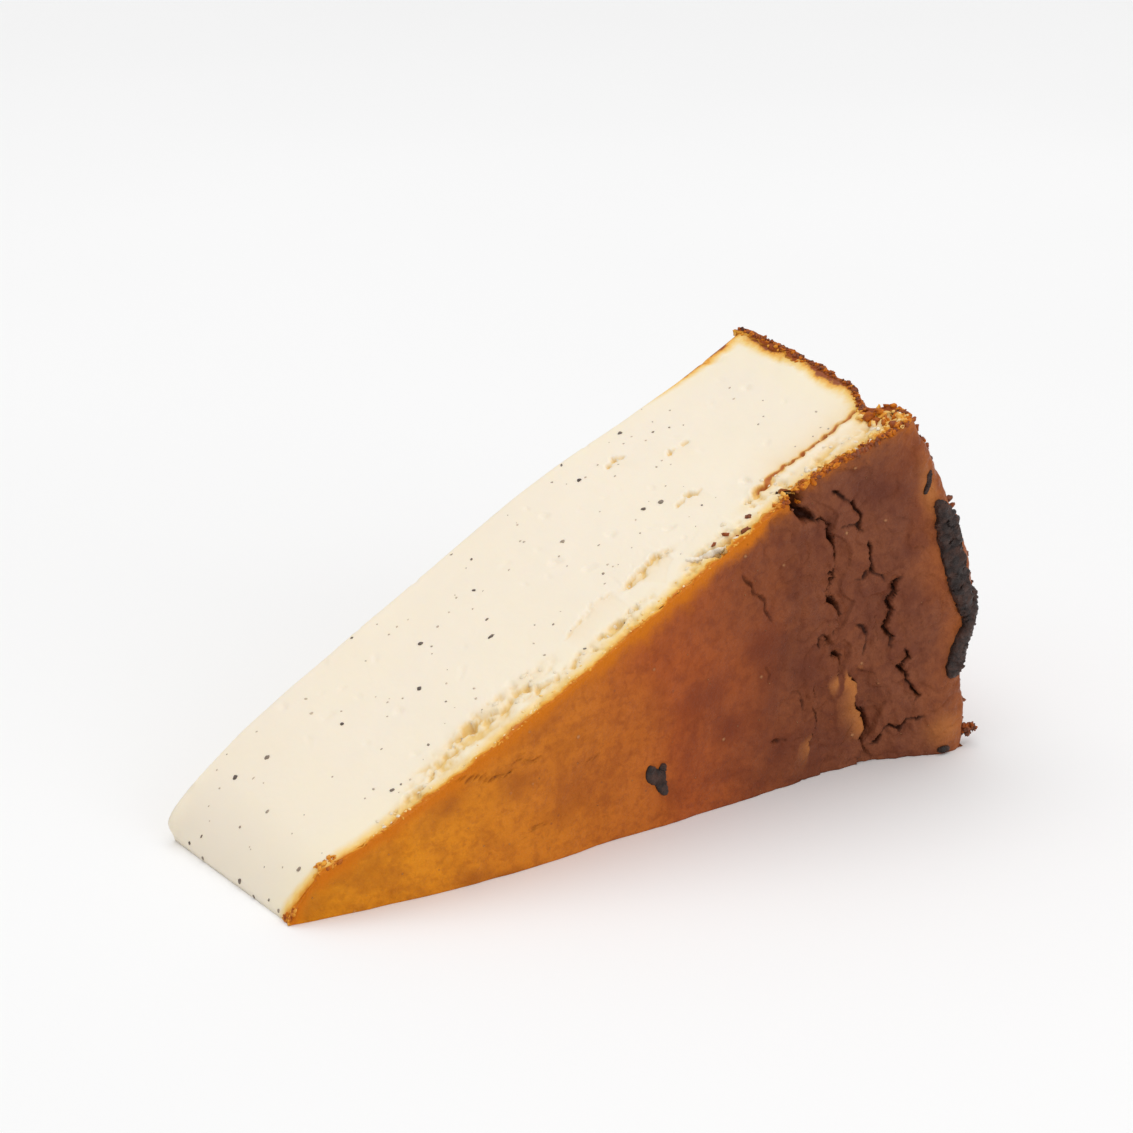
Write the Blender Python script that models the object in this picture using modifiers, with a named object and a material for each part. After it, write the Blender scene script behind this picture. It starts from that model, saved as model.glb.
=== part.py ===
"""A slice of baked cheesecake with a burnt top, lying on one of its two cut faces.

The cake is a shallow round: a flat base, a sunken middle and a raised, cracked rim. The
slice is one wedge of it with a blunt tip. It lies on its side, so the cake's axis is
horizontal. +X runs from the tip to the rim, -Y is the browned top, +Y the cake's base,
and the lower cut face is flat on z = 0. The origin is under the middle of its box.
"""
import math

import bmesh
import bpy
from mathutils import Vector, noise

# ---------------------------------------------------------------- driving dimensions, metres
MILLIMETRE = 0.001
CAKE_RADIUS = 0.130                      # cake's axis to the rim's top edge, at the cut faces
SLICE_ANGLE = math.radians(26.7)         # one cut of about thirteen
CENTRE_HEIGHT = 0.0343                   # cake's height in its sunken middle
SHOULDER_RISE = 0.0082                   # from the middle up to the level ring
SHOULDER_REACH = 0.028                   # how quickly that rise happens along the radius
LIP_RISE = 0.005                         # the rim's raised edge above the level ring
LIP_START = 0.108                        # radius where the raised edge begins
SETTLING = 0.0010                        # the lower half of the skin has settled by this much

BASE_FLARE = 0.0055                      # the side stands this much wider at the base
WAIST_DEPTH = 0.0032                     # the side's hollow under the raised edge
WAIST_HEIGHT = 0.038
WAIST_SPREAD = 0.0045
LIP_BULGE = 0.0037                       # the raised edge swells outward mid-slice
LIP_BULGE_ANGLE = math.radians(14.5)
LIP_BULGE_SPREAD = math.radians(6.5)
PLEAT_DEPTH = 0.0009                     # folds that the lining paper left in the side
PLEAT_COUNT = 5

TIP_RADIUS = 0.0092                      # the point is gone: the tip is blunt from here
TIP_LEAN = 0.0060                        # and leans back by this much at its upper edge
TIP_ROUNDNESS = (2.2, 3.3)               # how late it leans, at the skin, and more at the base
TIP_SKEW = 0.0016                        # its base side is cut back by this much
TIP_ROUNDING = 0.022                     # length over which its base side rounds off
SAG_LIFT = 0.0034                        # upper cut face stands higher along the base side
SAG_FADE = (0.080, 0.126)                # radii over which that difference dies out
BASE_BULGE = 0.0010                      # the soft base swells outward a little

EDGE_ROUNDING = 0.0008                   # every cut edge is softened by this much
SKIN_UNEVENNESS = 0.00035                # slow waves in the browned top
WAVE_LENGTH = 0.016

# The fissures in the top run along the rim: radius, first angle, last angle, depth.
FISSURES = (
    (0.1083, math.radians(9.0), math.radians(27.5), 0.0020),
    (0.1110, math.radians(-1.0), math.radians(8.5), 0.0022),
    (0.1160, math.radians(15.0), math.radians(25.0), 0.0014),
    (0.1188, math.radians(5.0), math.radians(15.0), 0.0014),
    (0.1022, math.radians(3.5), math.radians(9.0), 0.0008),
)
FISSURE_WIDTH = 0.0012
FISSURE_WANDER = 0.0011                  # how far a fissure strays from its radius
SLOW_WANDER = 17.0                       # waves of that straying, in radians per radian
QUICK_WANDER = 41.0
FISSURE_FADE = math.radians(1.5)         # a fissure closes over this angle at its ends
TERRACE_DROP = 0.0006                    # the skin steps down between the first two fissures

# The two burnt ridges on the raised edge: radius, first angle, last angle, height.
BURNT_RIDGES = (
    (0.1290, math.radians(10.0), math.radians(20.5), 0.0012),
    (0.1300, math.radians(5.0), math.radians(10.5), 0.0011),
)
RIDGE_WIDTH = 0.0022
RIDGE_FADE = math.radians(1.0)
RIDGE_LUMPS = 95.0                       # lumps along a ridge, in radians per radian

# A fold runs into the upper cut face from the hollow in the side.
FOLD_HEIGHT = 0.0362
FOLD_REACH = (0.112, 0.129)              # radii that it runs between
FOLD_FADE = 0.003
FOLD_DEPTH = 0.0009
FOLD_WIDTH = 0.0016

# ---------------------------------------------------------------- mesh spacing
LONG_CELLS = (16, 24)                    # cells from the tip to the cracked ring, and across it
CRACKED_FROM = 0.62                      # where that ring starts, as a share of the length
HEIGHT_CELLS = 15
ANGLE_CELLS = 17


def smooth_step(low, high, value):
    """0 below low, 1 above high, and a soft ramp between."""
    share = min(max((value - low) / (high - low), 0.0), 1.0)
    return share * share * (3.0 - 2.0 * share)


def bell(distance, width):
    return math.exp(-(distance / width) ** 2)


def between(value, first, last, softness):
    """1 inside the span from first to last, falling to 0 over softness outside it."""
    return smooth_step(first - softness, first, value) * (1.0 - smooth_step(last, last + softness, value))


def fissure_radius(radius, angle):
    """A fissure's path: nearly along the rim, straying to and fro."""
    phase = radius / MILLIMETRE
    slow = math.sin(SLOW_WANDER * angle + phase)
    quick = math.sin(QUICK_WANDER * angle)
    return radius + FISSURE_WANDER * (0.7 * slow + 0.4 * quick)


def top_height(radius, angle):
    """Height of the browned top above the base plane."""
    shoulder = SHOULDER_RISE * (1.0 - math.exp(-(radius - TIP_RADIUS) / SHOULDER_REACH))
    height = CENTRE_HEIGHT + max(shoulder, 0.0)
    height += LIP_RISE * smooth_step(LIP_START, CAKE_RADIUS, radius)
    ring = smooth_step(0.045, 0.065, radius) * (1.0 - smooth_step(LIP_START, CAKE_RADIUS, radius))
    height -= SETTLING * ring * (1.0 - angle / SLICE_ANGLE)
    spot = Vector((radius * math.cos(angle), radius * math.sin(angle), 0.0)) / WAVE_LENGTH
    height += SKIN_UNEVENNESS * noise.noise(spot)
    inner = fissure_radius(FISSURES[0][0], angle)
    outer = fissure_radius(FISSURES[2][0], angle)
    height -= TERRACE_DROP * between(radius, inner, outer, FISSURE_WIDTH)
    for path, first, last, depth in FISSURES:
        across = radius - fissure_radius(path, angle)
        height -= depth * bell(across, FISSURE_WIDTH) * between(angle, first, last, FISSURE_FADE)
    for path, first, last, rise in BURNT_RIDGES:
        lumps = 1.0 + 0.3 * math.sin(RIDGE_LUMPS * angle)
        height += rise * lumps * bell(radius - path, RIDGE_WIDTH) * between(angle, first, last, RIDGE_FADE)
    return height


def side_radius(height, angle):
    """Radius of the cake's side: flared at the base, hollow under the lip, pleated by its paper."""
    up = min(height / top_height(CAKE_RADIUS, angle), 1.0)
    radius = CAKE_RADIUS + BASE_FLARE * (1.0 - up) ** 1.3
    radius -= WAIST_DEPTH * bell(height - WAIST_HEIGHT, WAIST_SPREAD)
    radius += LIP_BULGE * bell(angle - LIP_BULGE_ANGLE, LIP_BULGE_SPREAD) * smooth_step(0.55, 0.95, up)
    pleat = math.sin(PLEAT_COUNT * math.pi * angle / SLICE_ANGLE + 3.0 * height / CENTRE_HEIGHT)
    return radius - PLEAT_DEPTH * pleat * (1.0 - 0.5 * up)


def tip_radius(up, across):
    """Radius of the blunt tip: upright at first, it leans back towards its rounded upper edge."""
    lean = across ** (TIP_ROUNDNESS[0] + TIP_ROUNDNESS[1] * (1.0 - up))
    return TIP_RADIUS + TIP_LEAN * lean + TIP_SKEW * (1.0 - up) * (1.0 - across)


def slice_point(along, up, across):
    """Where a point of the unit box goes: tip to rim, base to top, lower to upper cut face."""
    angle = SLICE_ANGLE * across
    inner = tip_radius(up, across)
    guess = CENTRE_HEIGHT + (SHOULDER_RISE + LIP_RISE) * along
    outer = side_radius(guess * up, angle)
    radius = inner + (outer - inner) * along
    height = top_height(radius, angle) * up
    belly = BASE_BULGE * math.sin(math.pi * along) * (1.0 - up)
    x = radius * math.cos(angle)
    y = belly - height
    z = radius * math.sin(angle)
    lift = smooth_step(TIP_RADIUS, TIP_RADIUS + TIP_ROUNDING, radius) * (1.0 - smooth_step(*SAG_FADE, radius))
    z += SAG_LIFT * lift * (1.0 - up) * across
    fold = bell(height - FOLD_HEIGHT, FOLD_WIDTH) * between(radius, *FOLD_REACH, FOLD_FADE)
    z -= FOLD_DEPTH * fold * smooth_step(0.9, 1.0, across)
    return Vector((x, y, z))


def stations(cells):
    """The inner dividing places of a length cut into equal cells."""
    return [index / cells for index in range(1, cells)]


def long_stations():
    """Wide cells from the tip to the cracked ring, narrow ones across it."""
    plain, cracked = LONG_CELLS
    places = [CRACKED_FROM * index / plain for index in range(1, plain + 1)]
    places += [CRACKED_FROM + (1.0 - CRACKED_FROM) * place for place in stations(cracked)]
    return places


def divided_box():
    """A unit box with its corner at zero, cut through at every station of its three directions."""
    mesh = bmesh.new()
    bmesh.ops.create_cube(mesh, size=1.0)
    bmesh.ops.translate(mesh, verts=mesh.verts, vec=(0.5, 0.5, 0.5))
    directions = (Vector((1, 0, 0)), Vector((0, 1, 0)), Vector((0, 0, 1)))
    for direction, places in zip(directions, (long_stations(), stations(HEIGHT_CELLS), stations(ANGLE_CELLS))):
        for place in places:
            everything = mesh.verts[:] + mesh.edges[:] + mesh.faces[:]
            bmesh.ops.bisect_plane(mesh, geom=everything, dist=1e-7, plane_co=direction * place, plane_no=direction)
    return mesh


def mark_box_edges(mesh):
    """Give the box's twelve edges a bevel weight, so that only they are rounded."""
    weight = mesh.edges.layers.float.new("bevel_weight_edge")
    for edge in mesh.edges:
        first, last = (vert.co for vert in edge.verts)
        sides = sum(1 for a, b in zip(first, last) if abs(a - b) < 1e-6 and (a < 1e-6 or a > 1.0 - 1e-6))
        edge[weight] = 1.0 if sides == 2 else 0.0


def shape_slice():
    """The wedge, bent from the divided box, with its lower cut face made one flat face."""
    mesh = divided_box()
    mark_box_edges(mesh)
    lower = [face for face in mesh.faces if all(vert.co.z < 1e-6 for vert in face.verts)]
    for vert in mesh.verts:
        vert.co = slice_point(*vert.co)
    bmesh.ops.dissolve_faces(mesh, faces=lower)
    bmesh.ops.recalc_face_normals(mesh, faces=mesh.faces)
    return mesh


def centre_on_floor(mesh):
    """Move the shape so that the origin is under the middle of its box."""
    low = Vector([min(vert.co[axis] for vert in mesh.verts) for axis in range(3)])
    high = Vector([max(vert.co[axis] for vert in mesh.verts) for axis in range(3)])
    middle = (low + high) / 2.0
    bmesh.ops.translate(mesh, verts=mesh.verts, vec=(-middle.x, -middle.y, -low.z))


def cheesecake_material():
    material = bpy.data.materials.new("baked_cheesecake")
    material.use_nodes = True
    shader = material.node_tree.nodes["Principled BSDF"]
    shader.inputs["Base Color"].default_value = (0.84, 0.74, 0.57, 1.0)
    shader.inputs["Roughness"].default_value = 0.5
    shader.inputs["Metallic"].default_value = 0.0
    return material


def add_slice(collection):
    mesh = shape_slice()
    centre_on_floor(mesh)
    data = bpy.data.meshes.new("cheesecake_slice")
    mesh.to_mesh(data)
    mesh.free()
    data.shade_smooth()
    data.set_sharp_from_angle(angle=math.radians(40.0))
    data.materials.append(cheesecake_material())
    slice_object = bpy.data.objects.new("cheesecake_slice", data)
    collection.objects.link(slice_object)
    rounding = slice_object.modifiers.new("softened_edges", "BEVEL")
    rounding.limit_method = "WEIGHT"
    rounding.width = EDGE_ROUNDING
    rounding.segments = 2
    return slice_object


def main():
    for old in list(bpy.data.objects):
        bpy.data.objects.remove(old, do_unlink=True)
    collection = bpy.data.collections.new("baked_cheesecake")
    bpy.context.scene.collection.children.link(collection)
    add_slice(collection)


main()
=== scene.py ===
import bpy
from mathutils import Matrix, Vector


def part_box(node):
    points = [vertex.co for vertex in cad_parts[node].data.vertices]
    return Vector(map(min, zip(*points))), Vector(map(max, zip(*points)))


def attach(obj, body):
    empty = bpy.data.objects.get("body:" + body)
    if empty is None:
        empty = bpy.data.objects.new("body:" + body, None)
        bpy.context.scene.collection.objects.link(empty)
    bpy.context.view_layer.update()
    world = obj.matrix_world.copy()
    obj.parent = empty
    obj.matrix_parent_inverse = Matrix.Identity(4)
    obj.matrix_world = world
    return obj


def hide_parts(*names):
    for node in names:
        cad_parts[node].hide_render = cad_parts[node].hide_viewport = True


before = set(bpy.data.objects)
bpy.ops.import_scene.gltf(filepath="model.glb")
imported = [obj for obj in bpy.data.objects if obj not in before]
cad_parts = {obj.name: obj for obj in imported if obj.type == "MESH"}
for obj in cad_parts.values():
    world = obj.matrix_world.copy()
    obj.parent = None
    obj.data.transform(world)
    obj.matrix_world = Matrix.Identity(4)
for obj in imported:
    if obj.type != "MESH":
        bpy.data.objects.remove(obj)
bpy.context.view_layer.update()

# A slice of burnt-top cheesecake, lying on its lower cut face. The CAD solid gives its place
# and its size. Here it gets its browned skin with fissures, its pale torn crumb, its burnt
# ridges, its vanilla flecks and the loose crumbs that cling to its cut edges.
import math
import random

import bmesh
import bpy
import numpy as np
from mathutils import Vector, bvhtree, kdtree, noise

MM = 0.001

# ---------------------------------------------------------------- the slice's form, as in CAD
CAKE_RADIUS = 130 * MM
SLICE_ANGLE = math.radians(26.7)
CENTRE_HEIGHT = 34.3 * MM
SHOULDER_RISE = 8.2 * MM
SHOULDER_REACH = 28 * MM
LIP_RISE = 5 * MM
LIP_START = 108 * MM
SETTLING = 1.0 * MM
BASE_FLARE = 5.5 * MM
WAIST_DEPTH = 3.2 * MM
WAIST_HEIGHT = 38 * MM
WAIST_SPREAD = 4.5 * MM
LIP_BULGE = 3.7 * MM
LIP_BULGE_ANGLE = math.radians(14.5)
LIP_BULGE_SPREAD = math.radians(6.5)
PLEAT_DEPTH = 0.9 * MM
PLEAT_COUNT = 5
TIP_RADIUS = 9.2 * MM
TIP_LEAN = 6.0 * MM
TIP_ROUNDNESS = (2.2, 3.3)
TIP_SKEW = 1.6 * MM
TIP_ROUNDING = 22 * MM
SAG_LIFT = 3.4 * MM
SAG_FADE = (80 * MM, 126 * MM)
BASE_BULGE = 1.0 * MM

slice_low, slice_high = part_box("cheesecake_slice")
APEX_X = slice_low[0] - TIP_RADIUS       # the cake's axis runs along Y through this X at z = 0
BASE_Y = slice_high[1] - BASE_BULGE      # the plane of the cake's base
CUT_NORMAL = np.array([-math.sin(SLICE_ANGLE), 0.0, math.cos(SLICE_ANGLE)])

CRUST_OVERLAP = 0.8 * MM                 # how far the crumb reaches in under the crust's outside
CORE_INSET = 3.6 * MM                     # how much deeper it lies under the middle of the crust
LIP_ROUNDING = 3.0 * MM


def smooth_step(low, high, value):
    share = np.clip((value - low) / (high - low), 0.0, 1.0)
    return share * share * (3.0 - 2.0 * share)


def bell(distance, width):
    return np.exp(-(distance / width) ** 2)


def between(value, first, last, softness):
    return smooth_step(first - softness, first, value) * (1.0 - smooth_step(last, last + softness, value))


def top_height(radius, angle):
    """Height of the browned top above the base, without its fissures."""
    shoulder = SHOULDER_RISE * (1.0 - np.exp(-(radius - TIP_RADIUS) / SHOULDER_REACH))
    height = CENTRE_HEIGHT + np.maximum(shoulder, 0.0)
    height = height + LIP_RISE * smooth_step(LIP_START, CAKE_RADIUS, radius)
    ring = smooth_step(45 * MM, 65 * MM, radius) * (1.0 - smooth_step(LIP_START, CAKE_RADIUS, radius))
    return height - SETTLING * ring * (1.0 - angle / SLICE_ANGLE)


def side_radius(height, angle):
    """Radius of the cake's side: flared at the base, hollow under the lip, pleated by its paper."""
    up = np.minimum(height / top_height(CAKE_RADIUS, angle), 1.0)
    radius = CAKE_RADIUS + BASE_FLARE * (1.0 - up) ** 1.3
    radius = radius - WAIST_DEPTH * bell(height - WAIST_HEIGHT, WAIST_SPREAD)
    radius = radius + LIP_BULGE * bell(angle - LIP_BULGE_ANGLE, LIP_BULGE_SPREAD) * smooth_step(0.55, 0.95, up)
    pleat = np.sin(PLEAT_COUNT * math.pi * angle / SLICE_ANGLE + 3.0 * height / CENTRE_HEIGHT)
    return radius - PLEAT_DEPTH * pleat * (1.0 - 0.5 * up)


def tip_radius(up, across):
    lean = across ** (TIP_ROUNDNESS[0] + TIP_ROUNDNESS[1] * (1.0 - up))
    return TIP_RADIUS + TIP_LEAN * lean + TIP_SKEW * (1.0 - up) * (1.0 - across)


def place(radius, angle, height):
    """Points in the shared frame from the cake's own radius, angle and height."""
    x = APEX_X + radius * np.cos(angle)
    y = BASE_Y - height
    z = radius * np.sin(angle)
    return np.stack(np.broadcast_arrays(x, y, z), axis=-1)


def sag(radius, up, across):
    """The upper cut face stands higher along the base side: how much, along Z."""
    from_tip = np.clip((radius - TIP_RADIUS) / TIP_ROUNDING, 0.0, 1.0)
    lift = from_tip * (2.0 - from_tip) * (1.0 - smooth_step(*SAG_FADE, radius))
    return SAG_LIFT * lift * (1.0 - up) * across


# ---------------------------------------------------------------- small makers
def lumps(points, size, seed=0.0, octaves=3):
    """Smooth lumpy noise, about -1 to 1, with lumps of the given size in metres."""
    shift = Vector((seed * 7.1, seed * 3.3, seed * 5.7))
    flat = np.asarray(points).reshape(-1, 3) / size
    values = [noise.fractal(Vector(spot) + shift, 1.0, 2.0, octaves) for spot in flat]
    return np.array(values).reshape(np.shape(points)[:-1])


def grid_faces(rows, columns):
    """Corner numbers of every face of a grid of points, rows by columns."""
    index = np.arange(rows * columns).reshape(rows, columns)
    return np.stack([index[:-1, :-1], index[1:, :-1], index[1:, 1:], index[:-1, 1:]], axis=-1).reshape(-1, 4)


def mesh_object(name, points, faces, material, traits=None):
    """A smooth mesh piece from arrays, with named values stored at its points."""
    data = bpy.data.meshes.new(name)
    corners = [tuple(map(int, face)) for face in faces]
    data.from_pydata(np.asarray(points).reshape(-1, 3).tolist(), [], corners)
    for trait, values in (traits or {}).items():
        layer = data.attributes.new(trait, "FLOAT", "POINT")
        layer.data.foreach_set("value", np.asarray(values, dtype=np.float32).ravel())
    data.materials.append(material)
    data.shade_smooth()
    piece = bpy.data.objects.new(name, data)
    bpy.context.scene.collection.objects.link(piece)
    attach(piece, "root")
    return piece


def bending_line(points, spacing):
    """Evenly dense places on a smooth line through a few chosen points."""
    knots = [Vector(point) for point in points]
    knots = [knots[0] * 2 - knots[1]] + knots + [knots[-1] * 2 - knots[-2]]
    line = []
    for before, start, end, after in zip(knots, knots[1:], knots[2:], knots[3:]):
        steps = max(2, int((end - start).length / spacing))
        for step in range(steps):
            t = step / steps
            line.append(0.5 * ((2 * start) + (end - before) * t
                               + (2 * before - 5 * start + 4 * end - after) * t * t
                               + (3 * start - before - 3 * end + after) * t ** 3))
    line.append(knots[-2])
    return line


class Tears:
    """Cracks drawn on a flat map of a surface, and how any spot of the map lies beside them."""

    def __init__(self, spacing=0.12 * MM):
        self.spacing = spacing
        self.spots = []
        self.traits = []                 # half width, depth and step at each spot

    def add(self, points, width, depth, step=0.0, jags=0.5 * MM, jag_length=1.1 * MM, seed=0):
        """A crack through the points. The side nearer the tip stands higher by step."""
        line = bending_line([(x, y, 0.0) for x, y in points], self.spacing)
        last = len(line) - 1
        draw = random.Random(seed)
        knots = [draw.uniform(-1.0, 1.0) for _ in range(int(last * self.spacing / jag_length) + 3)]
        for number, spot in enumerate(line):
            ahead = line[min(number + 1, last)] - line[max(number - 1, 0)]
            aside = Vector((-ahead.y, ahead.x, 0.0)).normalized()
            knot, share = divmod(number * self.spacing / jag_length, 1.0)
            stray = knots[int(knot)] * (1.0 - share) + knots[int(knot) + 1] * share
            swell = 1.0 + 0.5 * knots[-1 - int(knot)]
            taper = min(1.0, 2.2 * math.sin(math.pi * (number + 0.5) / (last + 1)))
            self.spots.append(spot + aside * stray * jags)
            self.traits.append((0.5 * width * swell * (0.3 + 0.7 * taper), depth * swell * taper, step * taper))

    def measure(self, flat_points):
        """For every spot: distance in half widths and in metres, depth, step and the way to the crack."""
        tree = kdtree.KDTree(len(self.spots))
        for number, spot in enumerate(self.spots):
            tree.insert(spot, number)
        tree.balance()
        flat = np.asarray(flat_points).reshape(-1, 2)
        found = np.zeros((len(flat), 7))
        for number, (x, y) in enumerate(flat):
            spot, index, distance = tree.find((x, y, 0.0))
            half, depth, step = self.traits[index]
            away = (spot.x - x) / (distance + 1e-9), (spot.y - y) / (distance + 1e-9)
            found[number] = (distance / half, distance, depth, step, half, *away)
        return found.reshape(np.shape(flat_points)[:-1] + (7,))


def groove(near, depth):
    """Cross-section of a crack: steep sides, a rounded floor, and lips a little raised."""
    inside = 1.0 - np.clip(near, 0.0, 1.0) ** 2.5
    return -depth * inside + 0.12 * depth * bell(near - 1.5, 0.6)


class Skin:
    """The outside of finished pieces, to lay small things on."""

    def __init__(self, *pieces):
        self.trees = []
        for piece in pieces:
            points = [vertex.co for vertex in piece.data.vertices]
            corners = [tuple(face.vertices) for face in piece.data.polygons]
            self.trees.append(bvhtree.BVHTree.FromPolygons(points, corners))

    def touch(self, start, direction):
        """The first place a straight line meets, and the way out of the surface there."""
        hits = [tree.ray_cast(start, direction) for tree in self.trees]
        hits = [hit for hit in hits if hit[0] is not None]
        if not hits:
            return None, None
        place_hit, normal = min(hits, key=lambda hit: hit[3])[:2]
        return place_hit, (normal if normal.dot(direction) < 0 else -normal)

    def nearest(self, spot):
        """The place closest to a spot outside, and the way out of the surface there."""
        hits = [tree.find_nearest(spot) for tree in self.trees]
        return min(hits, key=lambda hit: hit[3])[:2]


def round_seed_shape():
    """Points and faces of a small ball, the blank for crumbs and flecks."""
    blank = bmesh.new()
    bmesh.ops.create_icosphere(blank, subdivisions=2, radius=1.0)
    points = np.array([vertex.co[:] for vertex in blank.verts])
    faces = np.array([[vertex.index for vertex in face.verts] for face in blank.faces])
    blank.free()
    return points, faces


def scatter(name, grains, material, traits=(), longest=1.5, narrowest=0.5, crags=0.22):
    """One mesh of many small uneven grains: (place, outward, size, flatness, sunk, tone)."""
    blank, blank_faces = round_seed_shape()
    draw = np.random.default_rng(7)
    points = []
    tones = []
    for spot, outward, size, flatness, sunk, tone in grains:
        turn = Vector(draw.normal(size=3)).cross(outward).normalized()
        frame_axes = np.array([turn[:], outward.cross(turn)[:], outward[:]])
        scale = 0.5 * size * np.array([draw.uniform(0.8, longest), draw.uniform(narrowest, 1.0), flatness])
        facets = np.sin(blank @ draw.normal(scale=3.2, size=(3, 2)) + draw.uniform(0.0, 6.3, 2)).sum(axis=1)
        rough = (1.0 + crags * (facets + draw.uniform(-0.5, 0.5, len(blank))))[:, None]
        shape = (blank * rough * scale) @ frame_axes
        lift = 0.5 * size * flatness * (1.0 - 2.0 * sunk)
        points.append(np.array(spot[:]) + np.array(outward[:]) * lift + shape)
        tones.append(np.full(len(blank), tone))
    faces = np.concatenate([blank_faces + len(blank) * number for number in range(len(points))])
    stored = {"tone": np.concatenate(tones)}
    for key, value in traits:
        stored[key] = np.full(len(blank) * len(points), value)
    points = np.concatenate(points)
    points[:, 2] = np.maximum(points[:, 2], 0.0)
    return mesh_object(name, points, faces, material, stored)


def laid_strip(skin, route, widths, thickness, seed, wrinkle=0.35, steps=90, ring=32):
    """A closed, wrinkled strip that hugs the surface along a route: points and faces."""
    line = bending_line(route, 0.1 * MM)
    middle = [line[int(share * (len(line) - 1))] for share in np.linspace(0.0, 1.0, steps)]
    rows = []
    for number, spot in enumerate(middle):
        share = number / (steps - 1)
        ahead = (middle[min(number + 1, steps - 1)] - middle[max(number - 1, 0)]).normalized()
        seat, outward = skin.nearest(spot)
        aside = outward.cross(ahead).normalized()
        width = float(np.interp(share, np.linspace(0.0, 1.0, len(widths)), widths))
        ends = max(0.02, 1.0 - abs(2.0 * share - 1.0) ** 7) ** 0.5
        row = []
        for step in range(ring):
            turn = 2.0 * math.pi * step / ring
            offset = 0.5 * width * ends * math.cos(turn)
            ragged = 1.0 + 0.22 * noise.noise(Vector((share * 14.0, math.copysign(3.0, offset), seed)))
            under, out = skin.nearest(seat + aside * offset * ragged)
            high = math.sin(turn)
            folds = noise.fractal(Vector((share * len(middle) * 0.30, offset * 900.0, seed)), 1.0, 2.0, 3)
            lift = thickness * ends * max(high, 0.0) ** 0.6 * (1.0 + wrinkle * folds)
            row.append(under + out * (lift if high > 0.0 else -0.35 * MM * (1.0 + 0.4 * high)))
        rows.append(row)
    points = np.array([[corner[:] for corner in row] for row in rows]).reshape(-1, 3)
    faces = []
    for number in range(steps - 1):
        for step in range(ring):
            after = (step + 1) % ring
            faces.append((number * ring + step, number * ring + after,
                          (number + 1) * ring + after, (number + 1) * ring + step))
    faces.append(tuple(reversed(range(ring))))
    faces.append(tuple(range((steps - 1) * ring, steps * ring)))
    return points, faces


def joined_strips(name, strips, material, traits=()):
    """Several laid strips as one piece."""
    points = []
    faces = []
    for strip_points, strip_faces in strips:
        start = sum(len(part) for part in points)
        points.append(strip_points)
        faces += [tuple(corner + start for corner in face) for face in strip_faces]
    points = np.concatenate(points)
    points[:, 2] = np.maximum(points[:, 2], 0.0)
    stored = {key: np.full(len(points), value) for key, value in traits}
    return mesh_object(name, points, faces, material, stored)


# ---------------------------------------------------------------- shader building
def to_linear(red, green, blue):
    """A colour named by its screen values, 0 to 255, as the shader wants it."""
    channels = []
    for value in (red, green, blue):
        share = value / 255.0
        channels.append(share / 12.92 if share <= 0.04045 else ((share + 0.055) / 1.055) ** 2.4)
    return (*channels, 1.0)


def add_node(tree, kind, **settings):
    node = tree.nodes.new(kind)
    for key, value in settings.items():
        setattr(node, key, value)
    return node


def feed(tree, target, source):
    """Give a socket either another socket or a plain value."""
    if isinstance(source, bpy.types.NodeSocket):
        tree.links.new(source, target)
    else:
        target.default_value = source


def math_node(tree, operation, *values, clamp=False):
    node = add_node(tree, "ShaderNodeMath", operation=operation, use_clamp=clamp)
    for socket, value in zip(node.inputs, values):
        feed(tree, socket, value)
    return node.outputs[0]


def mix_colour(tree, share, first, second, blend="MIX"):
    node = add_node(tree, "ShaderNodeMix", data_type="RGBA", blend_type=blend)
    feed(tree, node.inputs["Factor"], share)
    feed(tree, node.inputs[6], first)
    feed(tree, node.inputs[7], second)
    return node.outputs[2]


def soft_range(tree, value, low, high, first=0.0, last=1.0):
    node = add_node(tree, "ShaderNodeMapRange", interpolation_type="SMOOTHSTEP")
    names = ("Value", "From Min", "From Max", "To Min", "To Max")
    for name, entry in zip(names, (value, low, high, first, last)):
        feed(tree, node.inputs[name], entry)
    return node.outputs["Result"]


def colour_ramp(tree, value, *stops):
    """Colours along a value: each stop is (position, colour)."""
    node = add_node(tree, "ShaderNodeValToRGB")
    ramp = node.color_ramp
    while len(ramp.elements) < len(stops):
        ramp.elements.new(0.5)
    for element, (position, colour) in zip(ramp.elements, stops):
        element.position = position
        element.color = colour
    feed(tree, node.inputs["Fac"], value)
    return node.outputs["Color"]


def trait(tree, name):
    return add_node(tree, "ShaderNodeAttribute", attribute_name=name).outputs["Fac"]


def cloud_noise(tree, size, detail=3.0, roughness=0.5, distortion=0.0):
    """Noise on the object's own coordinates, with clouds of the given size in metres or socket."""
    place_node = add_node(tree, "ShaderNodeTexCoord")
    node = add_node(tree, "ShaderNodeTexNoise")
    tree.links.new(place_node.outputs["Object"], node.inputs["Vector"])
    if isinstance(size, bpy.types.NodeSocket):
        size = math_node(tree, "DIVIDE", 1.0, size)
    else:
        size = 1.0 / size
    feed(tree, node.inputs["Scale"], size)
    node.inputs["Detail"].default_value = detail
    node.inputs["Roughness"].default_value = roughness
    node.inputs["Distortion"].default_value = distortion
    return node.outputs["Fac"]


def new_group(name, inputs, outputs):
    """An empty node group with named number inputs and outputs, and its two end nodes."""
    group = bpy.data.node_groups.new(name, "ShaderNodeTree")
    for label, default in inputs:
        socket = group.interface.new_socket(label, in_out="INPUT", socket_type="NodeSocketFloat")
        socket.default_value = default
    for label in outputs:
        group.interface.new_socket(label, in_out="OUTPUT", socket_type="NodeSocketFloat")
    start = add_node(group, "NodeGroupInput")
    end = add_node(group, "NodeGroupOutput")
    return group, start, end


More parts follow.
